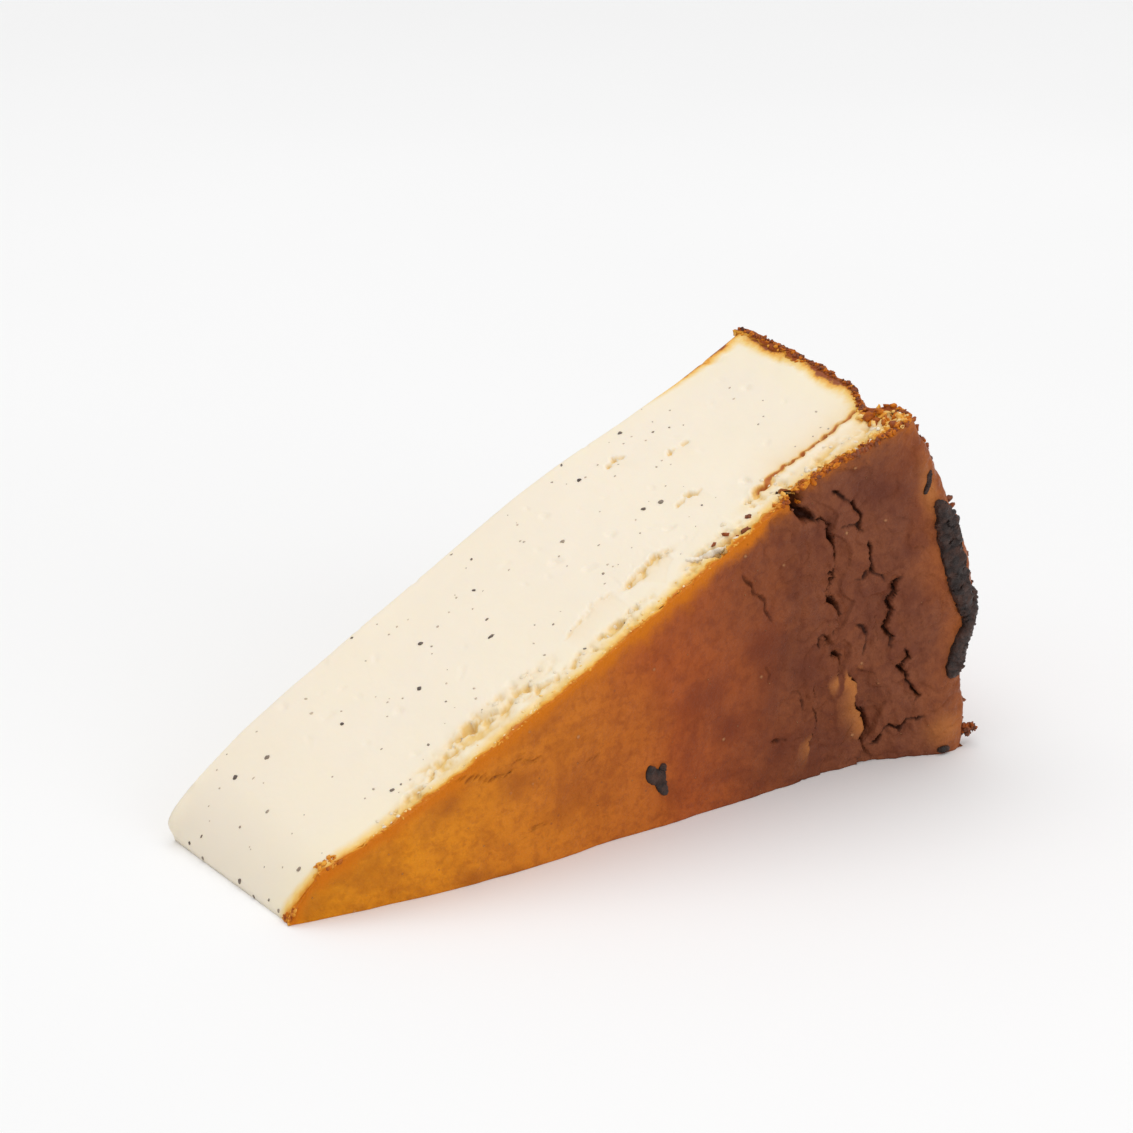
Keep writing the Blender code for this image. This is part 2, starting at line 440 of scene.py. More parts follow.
def make_mottling():
    """Soft patches: 0 outside them, 1 in their middles."""
    group, start, end = new_group("mottling", (("Size", 0.01), ("Threshold", 0.5), ("Softness", 0.1)),
                                  ("Mask",))
    cloud = cloud_noise(group, start.outputs["Size"], detail=4.0, roughness=0.6, distortion=0.4)
    low = math_node(group, "SUBTRACT", start.outputs["Threshold"], start.outputs["Softness"])
    high = math_node(group, "ADD", start.outputs["Threshold"], start.outputs["Softness"])
    feed(group, end.inputs["Mask"], soft_range(group, cloud, low, high))
    return group


def make_moist_sheen():
    """Roughness that wanders between two values, so that a moist face doesn't shine evenly."""
    group, start, end = new_group("moist_sheen", (("Smoothest", 0.3), ("Roughest", 0.5), ("Size", 0.01)),
                                  ("Roughness",))
    cloud = cloud_noise(group, start.outputs["Size"], detail=3.0, roughness=0.6)
    value = soft_range(group, cloud, 0.35, 0.65, start.outputs["Smoothest"], start.outputs["Roughest"])
    feed(group, end.inputs["Roughness"], value)
    return group


def make_baked_grain():
    """Fine relief of a baked skin: shallow lumps with a finer grain on them."""
    group, start, end = new_group("baked_grain", (("Lump Size", 0.002), ("Grain Size", 0.0004), ("Grain", 0.4)),
                                  ("Height",))
    lump = cloud_noise(group, start.outputs["Lump Size"], detail=2.0)
    grain = cloud_noise(group, start.outputs["Grain Size"], detail=2.0)
    fine = math_node(group, "MULTIPLY", grain, start.outputs["Grain"])
    feed(group, end.inputs["Height"], math_node(group, "ADD", lump, fine))
    return group


def make_under_skin():
    """Colour of the cake under its skin: orange, then golden, then yellow, by depth in metres."""
    group, start, end = new_group("under_skin", (("Depth", 0.0), ("Raggedness", 0.0008), ("Brownness", 0.0)), ())
    group.interface.new_socket("Color", in_out="OUTPUT", socket_type="NodeSocketColor")
    fine = cloud_noise(group, 0.0016, detail=5.0, roughness=0.62)
    broad = cloud_noise(group, 0.0080, detail=2.0)
    cloud = math_node(group, "MULTIPLY_ADD", broad, 1.4, fine)
    ragged = math_node(group, "MULTIPLY_ADD", cloud, 2.0, -2.4)
    depth = math_node(group, "MULTIPLY_ADD", ragged, start.outputs["Raggedness"], start.outputs["Depth"])
    share = math_node(group, "DIVIDE", depth, 0.004)
    glow = colour_ramp(group, share, (0.0, BURNT_ORANGE), (0.16, BURNT_ORANGE), (0.27, GOLD),
                       (0.45, EGG_YELLOW), (0.85, CREAM))
    brown = colour_ramp(group, share, (0.0, COCOA), (0.10, RUST), (0.30, RUST), (0.42, GOLD),
                        (0.62, EGG_YELLOW), (1.0, CREAM))
    feed(group, end.inputs["Color"], mix_colour(group, start.outputs["Brownness"], glow, brown))
    return group


def make_blisters():
    """Scattered small round spots: 1 in their middles."""
    group, start, end = new_group("blisters", (("Spacing", 0.006), ("Size", 0.0004)), ("Mask",))
    place_node = add_node(group, "ShaderNodeTexCoord")
    cells = add_node(group, "ShaderNodeTexVoronoi", feature="F1")
    feed(group, cells.inputs["Vector"], place_node.outputs["Object"])
    feed(group, cells.inputs["Scale"], math_node(group, "DIVIDE", 1.0, start.outputs["Spacing"]))
    distance = math_node(group, "MULTIPLY", cells.outputs["Distance"], start.outputs["Spacing"])
    inner = math_node(group, "MULTIPLY", start.outputs["Size"], 0.35)
    feed(group, end.inputs["Mask"], soft_range(group, distance, start.outputs["Size"], inner))
    return group


def use_group(tree, group, **values):
    node = add_node(tree, "ShaderNodeGroup")
    node.node_tree = group
    for key, value in values.items():
        feed(tree, node.inputs[key.replace("_", " ")], value)
    return node.outputs[0]


def start_material(name):
    material = bpy.data.materials.new(name)
    material.use_nodes = True
    tree = material.node_tree
    return material, tree, tree.nodes["Principled BSDF"]


def give_sheen(tree, shader, smoothest, roughest, size):
    """A soft, uneven gloss."""
    sheen = use_group(tree, MOIST_SHEEN, Smoothest=smoothest, Roughest=roughest, Size=size)
    feed(tree, shader.inputs["Roughness"], sheen)


def add_bump(tree, shader, height, distance, strength=1.0):
    bump = add_node(tree, "ShaderNodeBump")
    bump.inputs["Distance"].default_value = distance
    bump.inputs["Strength"].default_value = strength
    feed(tree, bump.inputs["Height"], height)
    tree.links.new(bump.outputs["Normal"], shader.inputs["Normal"])


# ---------------------------------------------------------------- colours, as screen values
AMBER = to_linear(238, 154, 16)
HONEY = to_linear(218, 132, 26)
RUSSET = to_linear(206, 118, 30)
CARAMEL = to_linear(174, 86, 34)
CHESTNUT = to_linear(132, 71, 40)
COCOA = to_linear(134, 76, 48)
TAN = to_linear(160, 88, 44)
RUST = to_linear(150, 70, 18)
GOLD = to_linear(236, 166, 54)
SOOT_AND_CRACK_SHADE = to_linear(54, 25, 16)
BURNT_ORANGE = to_linear(208, 114, 4)
EGG_YELLOW = to_linear(248, 208, 126)
IVORY = to_linear(247, 234, 214)
CREAM = to_linear(250, 236, 209)
PALE_AND_LIT_GOLD = to_linear(198, 124, 62)
CHAR_BLACK = to_linear(38, 26, 23)
CHAR_BROWN = to_linear(72, 46, 36)
SEED_BROWN = to_linear(62, 48, 44)
SEED_TAN = to_linear(206, 186, 162)
BLISTER_TAN = to_linear(206, 150, 104)
BASE_GOLD = to_linear(236, 206, 154)
PIT_YELLOW = to_linear(236, 196, 112)
FOLD_YELLOW = to_linear(240, 192, 96)
FOLD_ORANGE = to_linear(186, 100, 14)
SYRUP_GOLD = to_linear(196, 146, 66)
SYRUP_BROWN = to_linear(166, 128, 74)
DARKENING = to_linear(198, 180, 198)      # what the skin's colour is multiplied by in its dark patches

MOTTLING = make_mottling()
MOIST_SHEEN = make_moist_sheen()
BAKED_GRAIN = make_baked_grain()
UNDER_SKIN = make_under_skin()
BLISTERS = make_blisters()


def browned_skin_material():
    """Skin of the cake: honey in the middle, chestnut and cocoa towards the rim, tan on the lip."""
    material, tree, shader = start_material("browned_skin")
    patches = use_group(tree, MOTTLING, Size=0.012, Threshold=0.57, Softness=0.10)
    dapples = use_group(tree, MOTTLING, Size=0.0045, Threshold=0.60, Softness=0.12)
    light_spots = math_node(tree, "MAXIMUM", use_group(tree, BLISTERS, Spacing=0.0052, Size=0.00042),
                            use_group(tree, BLISTERS, Spacing=0.0027, Size=0.00017))
    dark_spots = use_group(tree, BLISTERS, Spacing=0.0043, Size=0.00030)
    wander = math_node(tree, "MULTIPLY_ADD", cloud_noise(tree, 0.015, detail=4.0), 0.15, -0.075)
    along = math_node(tree, "ADD", trait(tree, "along"), wander)
    skin = colour_ramp(tree, along, (0.06, AMBER), (0.28, HONEY), (0.42, RUSSET), (0.58, CARAMEL),
                       (0.75, CHESTNUT), (0.85, COCOA), (0.91, COCOA), (0.965, TAN), (1.0, TAN))
    darker = mix_colour(tree, 1.0, skin, DARKENING, blend="MULTIPLY")
    skin = mix_colour(tree, math_node(tree, "MULTIPLY", patches, 0.60), skin, darker)
    skin = mix_colour(tree, math_node(tree, "MULTIPLY", dapples, 0.40), skin, darker)
    freckles = use_group(tree, MOTTLING, Size=0.0014, Threshold=0.55, Softness=0.14)
    skin = mix_colour(tree, math_node(tree, "MULTIPLY", freckles, 0.45), skin, darker)
    # Paler gold: the skin's own pale spots, and a painted highlight on the crack flanks that face the light.
    paleness_and_painted_light = math_node(tree, "ADD", trait(tree, "pale"),
                         math_node(tree, "MULTIPLY_ADD", cloud_noise(tree, 0.0045, detail=5.0), 0.5, -0.25))
    skin = mix_colour(tree, soft_range(tree, paleness_and_painted_light, 0.10, 1.3), skin, PALE_AND_LIT_GOLD)
    skin = mix_colour(tree, trait(tree, "dark"), skin, darker)
    skin = mix_colour(tree, math_node(tree, "MULTIPLY", light_spots, 0.5), skin, BLISTER_TAN)
    skin = mix_colour(tree, math_node(tree, "MULTIPLY", dark_spots, 0.5), skin, COCOA)
    fringe = math_node(tree, "MULTIPLY_ADD", cloud_noise(tree, 0.0050, detail=5.0, roughness=0.6), 1.1, -0.55)
    edge = math_node(tree, "ADD", trait(tree, "edge"), fringe)
    skin = mix_colour(tree, soft_range(tree, edge, 0.12, 0.85), skin, BURNT_ORANGE)
    brownness = trait(tree, "rim")
    glow = use_group(tree, UNDER_SKIN, Depth=trait(tree, "band"), Raggedness=0.0005, Brownness=brownness)
    skin = mix_colour(tree, soft_range(tree, trait(tree, "band"), 0.00005, 0.0004), skin, glow)
    # Near-black in the fissures is painted shade that deepens the cracks' shadow.
    skin = mix_colour(tree, trait(tree, "crack"), skin, SOOT_AND_CRACK_SHADE)
    feed(tree, shader.inputs["Base Color"], skin)
    give_sheen(tree, shader, 0.42, 0.62, 0.005)
    shader.inputs["Specular IOR Level"].default_value = 0.16
    grain = use_group(tree, BAKED_GRAIN, Lump_Size=0.0013, Grain_Size=0.0004, Grain=0.35)
    raised = math_node(tree, "MULTIPLY_ADD", light_spots, 0.5, grain)
    add_bump(tree, shader, raised, 0.00040)
    return material


def set_cheese_material():
    """The pale crumb: ivory, turning yellow and then orange close under the browned skin."""
    material, tree, shader = start_material("set_cheese")
    haze = cloud_noise(tree, 0.020, detail=3.0)
    near_skin = soft_range(tree, trait(tree, "below_skin"), 0.010, 0.003)
    creamy = math_node(tree, "MULTIPLY_ADD", soft_range(tree, haze, 0.35, 0.65), 0.35, math_node(
        tree, "MULTIPLY", near_skin, 0.65))
    crumb = mix_colour(tree, creamy, IVORY, CREAM)
    baked_base = soft_range(tree, cloud_noise(tree, 0.016, detail=4.0, roughness=0.6), 0.25, 0.75, 0.35, 0.85)
    tint = math_node(tree, "MULTIPLY", trait(tree, "base"), baked_base)
    crumb = mix_colour(tree, tint, crumb, BASE_GOLD)
    brownness = trait(tree, "rim")
    raggedness = math_node(tree, "MULTIPLY_ADD", brownness, 0.0006, 0.0007)
    glow = use_group(tree, UNDER_SKIN, Depth=trait(tree, "below_skin"), Raggedness=raggedness,
                     Brownness=brownness)
    crumb = mix_colour(tree, soft_range(tree, trait(tree, "below_skin"), 0.0045, 0.0025), crumb, glow)
    # Yellower crumb in the hollows: painted shade by hollow depth, plus the torn patches' own yellower tint.
    crumb = mix_colour(tree, trait(tree, "pit_tint_and_shade"), crumb, PIT_YELLOW)
    yellowed = math_node(tree, "MULTIPLY", trait(tree, "fold"), 1.6, clamp=True)
    crumb = mix_colour(tree, yellowed, crumb, FOLD_YELLOW)
    crumb = mix_colour(tree, soft_range(tree, trait(tree, "fold"), 0.35, 0.85), crumb, FOLD_ORANGE)
    feed(tree, shader.inputs["Base Color"], crumb)
    give_sheen(tree, shader, 0.36, 0.58, 0.009)
    shader.inputs["Specular IOR Level"].default_value = 0.35
    shader.inputs["Subsurface Weight"].default_value = 0.18
    shader.inputs["Subsurface Scale"].default_value = 0.002
    shader.inputs["Subsurface Radius"].default_value = (1.0, 0.8, 0.5)
    grain = use_group(tree, BAKED_GRAIN, Lump_Size=0.0030, Grain_Size=0.0009, Grain=0.3)
    add_bump(tree, shader, grain, 0.00006)
    return material


def char_material():
    material, tree, shader = start_material("char")
    cloud = cloud_noise(tree, 0.0014, detail=4.0)
    feed(tree, shader.inputs["Base Color"], mix_colour(tree, soft_range(tree, cloud, 0.35, 0.7), CHAR_BLACK,
                                                       CHAR_BROWN))
    give_sheen(tree, shader, 0.40, 0.75, 0.002)
    shader.inputs["Specular IOR Level"].default_value = 0.4
    grain = use_group(tree, BAKED_GRAIN, Lump_Size=0.0010, Grain_Size=0.0003, Grain=0.5)
    add_bump(tree, shader, grain, 0.0003)
    return material


def crust_crumb_material():
    """Baked crumbs, from yellow through orange to nearly black by their tone."""
    material, tree, shader = start_material("crust_crumbs")
    tone = math_node(tree, "ADD", trait(tree, "tone"),
                     math_node(tree, "MULTIPLY_ADD", cloud_noise(tree, 0.0008, detail=3.0), 0.5, -0.25))
    colour = colour_ramp(tree, tone, (0.0, CREAM), (0.18, EGG_YELLOW), (0.36, GOLD), (0.52, BURNT_ORANGE),
                         (0.70, RUST), (0.85, COCOA), (1.0, SOOT_AND_CRACK_SHADE))
    feed(tree, shader.inputs["Base Color"], colour)
    give_sheen(tree, shader, 0.45, 0.7, 0.002)
    shader.inputs["Specular IOR Level"].default_value = 0.25
    add_bump(tree, shader, use_group(tree, BAKED_GRAIN, Lump_Size=0.0006, Grain_Size=0.0002, Grain=0.4), 0.0001)
    return material


def vanilla_material():
    """Vanilla seeds, from dark ones to faint ones under the surface, by their tone."""
    material, tree, shader = start_material("vanilla_seed")
    uneven = math_node(tree, "MULTIPLY_ADD", cloud_noise(tree, 0.0006, detail=2.0), 0.5, -0.2)
    tone = math_node(tree, "ADD", trait(tree, "tone"), uneven, clamp=True)
    feed(tree, shader.inputs["Base Color"], mix_colour(tree, tone, SEED_BROWN, SEED_TAN))
    give_sheen(tree, shader, 0.4, 0.6, 0.002)
    return material


def syrup_material():
    material, tree, shader = start_material("syrup_bead")
    cloud = cloud_noise(tree, 0.0010, detail=2.0)
    feed(tree, shader.inputs["Base Color"], mix_colour(tree, cloud, SYRUP_GOLD, SYRUP_BROWN))
    give_sheen(tree, shader, 0.2, 0.35, 0.001)
    return material


# ---------------------------------------------------------------- the browned crust
def on_top(radius_mm, degrees):
    """A spot of the top's flat map, from its radius and its angle above the lower cut."""
    angle = math.radians(degrees)
    return (radius_mm * MM * math.cos(angle), radius_mm * MM * math.sin(angle))


def top_fissures():
    """Cracks of the baked top through a few chosen spots: width, depth and step in millimetres."""
    tears = Tears()
    routes = (
        ([(106.4, 27.4), (107.0, 25.2), (109.0, 23.4)], 2.6, 3.0, 0.6),
        ([(108.6, 23.8), (109.9, 22.4), (110.5, 20.6), (109.8, 19.0), (108.6, 18.2)], 1.3, 2.6, 0.9),
        ([(108.9, 18.6), (107.5, 16.2), (108.5, 14.2), (107.2, 12.6)], 1.2, 2.4, 1.0),
        ([(105.8, 13.2), (105.9, 11.2), (107.6, 10.4), (108.2, 8.8)], 1.0, 2.2, 0.9),
        ([(109.6, 9.0), (110.8, 7.2), (110.7, 5.0), (111.9, 3.0), (111.7, -0.5)], 1.1, 2.8, 1.1),
        ([(112.8, 25.0), (114.6, 23.0), (116.3, 20.2)], 0.7, 0.9, 0.3),
        ([(115.7, 19.4), (116.2, 17.4), (117.6, 15.0)], 0.7, 1.0, 0.3),
        ([(120.8, 15.2), (118.9, 14.4), (117.8, 12.6), (117.3, 11.0), (117.8, 9.6)], 0.9, 1.7, -0.7),
        ([(119.4, 9.3), (118.7, 7.4), (120.2, 6.2), (120.0, 4.6)], 0.7, 1.3, -0.5),
        ([(122.0, 3.2), (118.0, 2.8), (115.2, 2.4), (112.6, 1.4)], 0.8, 1.0, 0.4),
        ([(102.6, 9.2), (102.2, 6.5), (101.8, 3.0)], 0.7, 1.0, 0.6),
        ([(93.6, 23.8), (94.2, 21.6), (96.0, 19.8), (96.4, 17.0)], 0.6, 0.7, 0.2),
        ([(112.4, 21.6), (114.0, 21.2), (115.8, 20.6)], 0.6, 0.8, 0.0),
        ([(113.0, 16.4), (114.4, 16.0), (115.6, 16.6)], 0.5, 0.5, 0.0),
        ([(98.2, 9.6), (99.6, 8.4), (99.2, 7.0)], 0.5, 0.5, 0.2),
        ([(93.6, 4.8), (95.2, 5.2), (96.4, 4.4)], 0.5, 0.5, 0.1),
        ([(94.2, 13.0), (94.6, 12.0), (94.0, 11.2)], 0.5, 0.4, 0.1),
        ([(38.2, 26.6), (41.4, 23.7), (45.6, 20.6), (48.2, 21.4), (52.8, 18.4)], 0.36, 0.35, 0.25),
        ([(58.6, 14.4), (60.8, 14.2), (63.4, 15.8)], 0.30, 0.22, 0.1),
        ([(45.6, 5.4), (48.0, 7.4), (50.8, 7.6)], 0.30, 0.22, 0.1),
        ([(105.6, 13.6), (104.2, 13.4), (103.6, 12.2)], 0.5, 0.6, 0.2),
        ([(112.4, 12.6), (113.4, 11.0), (113.0, 9.4)], 0.5, 0.6, 0.2),
    )
    for seed, (spots, width, depth, step) in enumerate(routes):
        fine = 0.5 if width < 0.5 else 1.0
        tears.add([on_top(*spot) for spot in spots], width * MM, depth * MM, step * MM,
                  jags=0.85 * MM * fine, jag_length=1.5 * MM * fine, seed=seed)
    return tears


def soft_spot(flat, radius, degrees, across, along):
    """A soft spot on the flat map: 1 in its middle, fading over its reach across and along the rim."""
    middle = np.array(on_top(radius, degrees))
    outward = middle / np.linalg.norm(middle)
    offset = flat - middle
    away = offset @ outward / (across * MM)
    aside = offset @ np.array([-outward[1], outward[0]]) / (along * MM)
    return np.exp(-away ** 2 - aside ** 2)


def swellings(flat):
    """Lobes and hollows of the cracked ring: middle, reach across and along the rim, height."""
    lobes = (
        ((107.6, 6.4), 3.4, 7.0, 0.9), ((104.2, 1.5), 2.6, 6.0, -0.5), ((113.6, 5.0), 2.4, 7.0, -0.5),
        ((106.0, 14.0), 3.6, 6.5, 0.5), ((113.0, 14.5), 3.0, 9.0, -0.5), ((104.5, 21.5), 4.0, 6.0, 0.6),
        ((112.5, 21.0), 2.6, 6.0, 0.3), ((121.5, 12.0), 3.0, 5.0, 0.5), ((99.5, 6.5), 2.2, 6.0, 0.4),
        ((116.6, 7.5), 2.4, 5.0, 0.4), ((90.0, 14.0), 7.0, 8.0, -0.4), ((123.5, 5.0), 3.0, 6.0, 0.4),
    )
    total = np.zeros(flat.shape[:-1])
    for (radius, degrees), across, along, height in lobes:
        total += height * MM * soft_spot(flat, radius, degrees, across, along)
    return total


CRACKED_FROM = 0.60                      # share of the way to the lip where the rows lie closer
PLAIN_ROWS = 84
CRACKED_ROWS = 186
LIP_ROWS = 15
WALL_ROWS = 62
CRUST_COLUMNS = 212


def crust_profile(angles):
    """Outer line of the crust for every angle: over the top, round the lip and down the side."""
    plain = np.linspace(0.0, CRACKED_FROM, PLAIN_ROWS, endpoint=False)
    cracked = np.linspace(CRACKED_FROM, 1.0, CRACKED_ROWS)
    shares = np.concatenate([plain, cracked])[:, None]
    tip = tip_radius(1.0, angles / SLICE_ANGLE)[None, :]
    lip_top = top_height(CAKE_RADIUS, angles)
    outer = side_radius(lip_top - LIP_ROUNDING, angles)[None, :]
    radius = tip + (outer - LIP_ROUNDING - tip) * shares
    height = top_height(radius, angles[None, :])
    turn = np.linspace(0.0, math.pi / 2, LIP_ROWS + 1)[1:, None]
    edge_height = height[-1:]
    lip_radius = radius[-1:] + LIP_ROUNDING * np.sin(turn)
    lip_height = edge_height - LIP_ROUNDING * (1.0 - np.cos(turn))
    down = np.linspace(1.0, 0.0, WALL_ROWS + 1)[1:, None]
    wall_height = (edge_height - LIP_ROUNDING) * down
    wall_radius = side_radius(wall_height, angles[None, :])
    blend = smooth_step(0.80, 1.0, down)
    wall_radius = wall_radius * (1.0 - blend) + lip_radius[-1:] * blend
    radius = np.concatenate([radius, lip_radius, wall_radius])
    height = np.concatenate([height, lip_height, wall_height])
    on_side = np.concatenate([np.zeros(len(shares)), np.linspace(0, 1, LIP_ROWS), np.ones(WALL_ROWS)])
    return radius, height, on_side


def surface_normals(points):
    """Outward directions of a grid of points."""
    down_rows = np.gradient(points, axis=0)
    along_rows = np.gradient(points, axis=1)
    normals = np.cross(down_rows, along_rows)
    return normals / np.linalg.norm(normals, axis=-1, keepdims=True)


def spots_on(flat, spots):
    """Soft spots on the flat map, each (radius, degrees, reach across, reach along) in millimetres."""
    total = np.zeros(flat.shape[:-1])
    for radius, degrees, across, along in spots:
        total = np.maximum(total, soft_spot(flat, radius, degrees, across, along))
    return total


PALE_SPOTS = ((125.5, 1.8, 5.0, 3.4), (130.0, 12.0, 2.2, 4.0), (128.0, 8.0, 2.0, 2.6), (127.4, 21.0, 2.0, 6.0))
DARK_SPOTS = ((82.6, 13.8, 4.0, 3.2), (93.0, 15.5, 3.0, 3.0), (100.9, 11.0, 3.0, 3.4), (85.8, 8.8, 2.6, 2.6),
              (95.5, 4.2, 2.6, 3.0), (37.5, 1.3, 3.0, 1.2), (42.7, 0.0, 4.0, 0.9), (36.0, 23.0, 3.0, 2.4),
              (47.0, 17.5, 3.5, 2.0), (120.0, 23.0, 4.0, 4.0))


def make_crust(material):
    """The thin browned crust over the top, the lip and the side, with its edges on the cut faces."""
    angles = np.linspace(0.0, SLICE_ANGLE, CRUST_COLUMNS)
    radius, height, on_side = crust_profile(angles)
    angle = np.broadcast_to(angles[None, :], radius.shape)
    points = place(radius, angle, height)
    normals = surface_normals(points)
    side = on_side[:, None]
    flat = np.stack([radius * np.cos(angle), radius * np.sin(angle)], axis=-1)

    near, distance, depth, step, _, *toward = np.moveaxis(top_fissures().measure(flat), -1, 0)
    near = near + 50.0 * side
    outward = (toward[0] * flat[..., 0] + toward[1] * flat[..., 1]) / radius
    cracked = smooth_step(88 * MM, 104 * MM, radius) * (1.0 - side)
    relief = groove(near, depth) + swellings(flat) * (1.0 - side)
    relief += 0.7 * step * np.clip(3.0 * outward, -1.0, 1.0) * np.exp(-distance / (3.2 * MM)) * (near > 1.0)
    relief -= 0.28 * depth * np.exp(-distance / (2.0 * MM)) * (near > 1.0) * (1.0 - side)
    folds = np.stack([radius / (3.4 * MM), angle * radius / (11 * MM), np.full(radius.shape, 4.0)], axis=-1)
    relief += 0.34 * MM * cracked * lumps(folds, 1.0, seed=8, octaves=3)
    relief += 0.35 * MM * lumps(points, 14 * MM, seed=1) * (1.0 - side)
    relief += (0.11 + 0.10 * cracked) * MM * lumps(points, 4.0 * MM, seed=2, octaves=5)
    creases = np.abs(lumps(points, 5.0 * MM, seed=7, octaves=2))
    relief -= 0.30 * MM * cracked * np.clip(1.0 - creases / 0.13, 0.0, 1.0)
    relief += side * (0.55 * MM * lumps(points, 6 * MM, seed=3) + 0.30 * MM * lumps(points, 1.8 * MM, seed=4))
    points = points + normals * relief[..., None]
    pull = 0.5 * MM * bell(near - 1.1, 0.45) * (depth > 0.9 * MM) * (outward * step > 0)
    points[..., 0] += pull * toward[0]
    points[..., 2] += pull * toward[1]

    degrees = np.degrees(angle)
    # Painted highlight: crack flanks that face the light, on the lobe and in the groove, are painted paler gold as if
    # lit.
    beside = np.clip(2.0 * outward, 0.0, 1.0) * np.exp(-(distance / (3.2 * MM)) ** 1.4) * (near > 1.0)
    in_lobe = between(degrees, 3.4, 8.0, 1.8) * between(radius, 104 * MM, 112 * MM, 2 * MM)
    in_groove = between(degrees, -1.0, 3.4, 1.5) * between(radius, 97 * MM, 102 * MM, 1.5 * MM)
    lit_flank = beside * np.maximum(in_lobe, 0.8 * in_groove)
    arc = radius * (SLICE_ANGLE - angle)
    to_cut = np.minimum(arc, np.abs(radius - radius[:1]) * 1.3)
    traits = {
        "edge": np.exp(-to_cut / (2.0 * MM)) * (1.0 - 0.55 * smooth_step(98 * MM, 108 * MM, radius)),
        # crack: painted shade, near-black in the fissure floors, stronger towards the rim.
        "crack": smooth_step(1.25, 0.45, near) * np.clip(depth / (0.8 * MM), 0.0, 0.92)
        * (0.45 + 0.55 * smooth_step(98 * MM, 106 * MM, radius)),
        "along": np.clip(radius / (CAKE_RADIUS + LIP_BULGE), 0.0, 1.0),
        "rim": np.maximum(smooth_step(98 * MM, 112 * MM, radius), np.broadcast_to(side, radius.shape)),
        # pale: the lip's own paler spots, plus the painted highlight on the lit crack flanks.
        "pale": np.maximum(0.7 * spots_on(flat, PALE_SPOTS), lit_flank) * (1.0 - side),
        "dark": 0.8 * spots_on(flat, DARK_SPOTS) * (1.0 - side),
    }
    points, traits = wrap_edges(points, normals, traits)
    points[..., 2] = np.maximum(points[..., 2], 0.0)
    rows, columns = points.shape[:2]
    return mesh_object("crust", points, grid_faces(rows, columns), material, traits)


WRAP_DEPTHS = np.array([0.12, 0.40, 0.75, 1.10, 1.45, 1.55]) * MM
WRAP_SUNK = np.array([0.0, 0.0, 0.0, 0.0, 0.10, 0.9]) * MM
WRAP_ROWS = len(WRAP_DEPTHS)


def wrap_edges(points, normals, traits):
    """Carry the crust's outside round its four edges and a little way over the faces beside it."""
    traits = dict(traits, band=np.zeros(points.shape[:2]))

    def strip(edge_points, edge_normals, facing, proud):
        ragged = 1.0 + 0.75 * lumps(edge_points, 2.0 * MM, seed=5)
        layers = []
        for depth, sunk in zip(WRAP_DEPTHS, WRAP_SUNK):
            spot = edge_points - edge_normals * (depth * ragged)[..., None]
            bumpy = proud * lumps(spot, 0.9 * MM, seed=6, octaves=2)
            layers.append(spot + facing * (np.maximum(bumpy, 0.0) + 0.03 * MM - sunk)[..., None])
        return layers

    def grow(first, last, axis):
        shape = (-1, 1) if axis == 0 else (1, -1)
        for name in traits:
            value = traits[name]
            head = np.repeat(np.take(value, [0], axis=axis), WRAP_ROWS, axis=axis)
            tail = np.repeat(np.take(value, [-1], axis=axis), WRAP_ROWS, axis=axis)
            if name == "band":
                head = np.maximum(head, WRAP_DEPTHS[::-1].reshape(shape))
                tail = np.maximum(tail, WRAP_DEPTHS.reshape(shape))
            # The painted crack shade is weaker where the crust wraps round its edges.
            if name == "crack":
                head = head * 0.4
                tail = tail * 0.4
            traits[name] = np.concatenate([head, value, tail], axis=axis)
        return np.concatenate([np.stack(first[::-1], axis), points, np.stack(last, axis)], axis)

    lower = strip(points[:, 0], normals[:, 0], np.array([0.0, 0.0, -1.0]), 0.0)
    crumbly = 0.06 * MM + 0.30 * MM * traits["rim"][:, -1]
    upper = strip(points[:, -1], normals[:, -1], CUT_NORMAL, crumbly)
    points = grow(lower, upper, 1)
    normals = np.pad(normals, ((0, 0), (WRAP_ROWS, WRAP_ROWS), (0, 0)), mode="edge")
    corner = np.minimum(np.arange(points.shape[1]), np.arange(points.shape[1])[::-1]) < WRAP_ROWS
    whole = np.where(corner, 0.0, 1.0)[:, None]
    head = strip(points[0], normals[0] * whole, np.array([-0.9, 0.0, 0.43]) * whole, 0.40 * MM)
    tail = strip(points[-1], normals[-1] * whole, np.array([0.0, 1.0, 0.0]) * whole, 0.05 * MM)
    points = grow(head, tail, 0)
    return points, traits


# ---------------------------------------------------------------- the pale crumb
def box_surface(counts):
    """Points and faces on the surface of a box divided into counts cells each way."""
    nx, ny, nz = (count + 1 for count in counts)
    grid = np.indices((nx, ny, nz))
    outside = np.zeros((nx, ny, nz), dtype=bool)
    for axis in range(3):
        outside |= (grid[axis] == 0) | (grid[axis] == counts[axis])
    number = np.full((nx, ny, nz), -1)
    number[outside] = np.arange(outside.sum())
    spots = np.stack([grid[axis][outside] for axis in range(3)], axis=-1)
    faces = []
    for axis in range(3):
        for end, flip in ((0, True), (-1, False)):
            sheet = np.take(number, end, axis=axis)
            if axis == 1:
                flip = not flip
            quads = np.stack([sheet[:-1, :-1], sheet[1:, :-1], sheet[1:, 1:], sheet[:-1, 1:]], -1).reshape(-1, 4)
            faces.append(quads[:, ::-1] if flip else quads)
    return spots, np.concatenate(faces)


def long_shares(count):
    """Shares of the length, closer together from the middle to the rim, where the crumb is torn."""
    even = np.linspace(0.0, 1.0, count + 1)
    return even + 0.09 * np.sin(math.pi * even) ** 2 * (1.0 - even) + 0.03 * np.sin(2 * math.pi * even)


def high_shares(count):
    """Shares of the height, closer together towards the browned top."""
    even = np.linspace(0.0, 1.0, count + 1)
    return 1.0 - (1.0 - even) ** 1.25


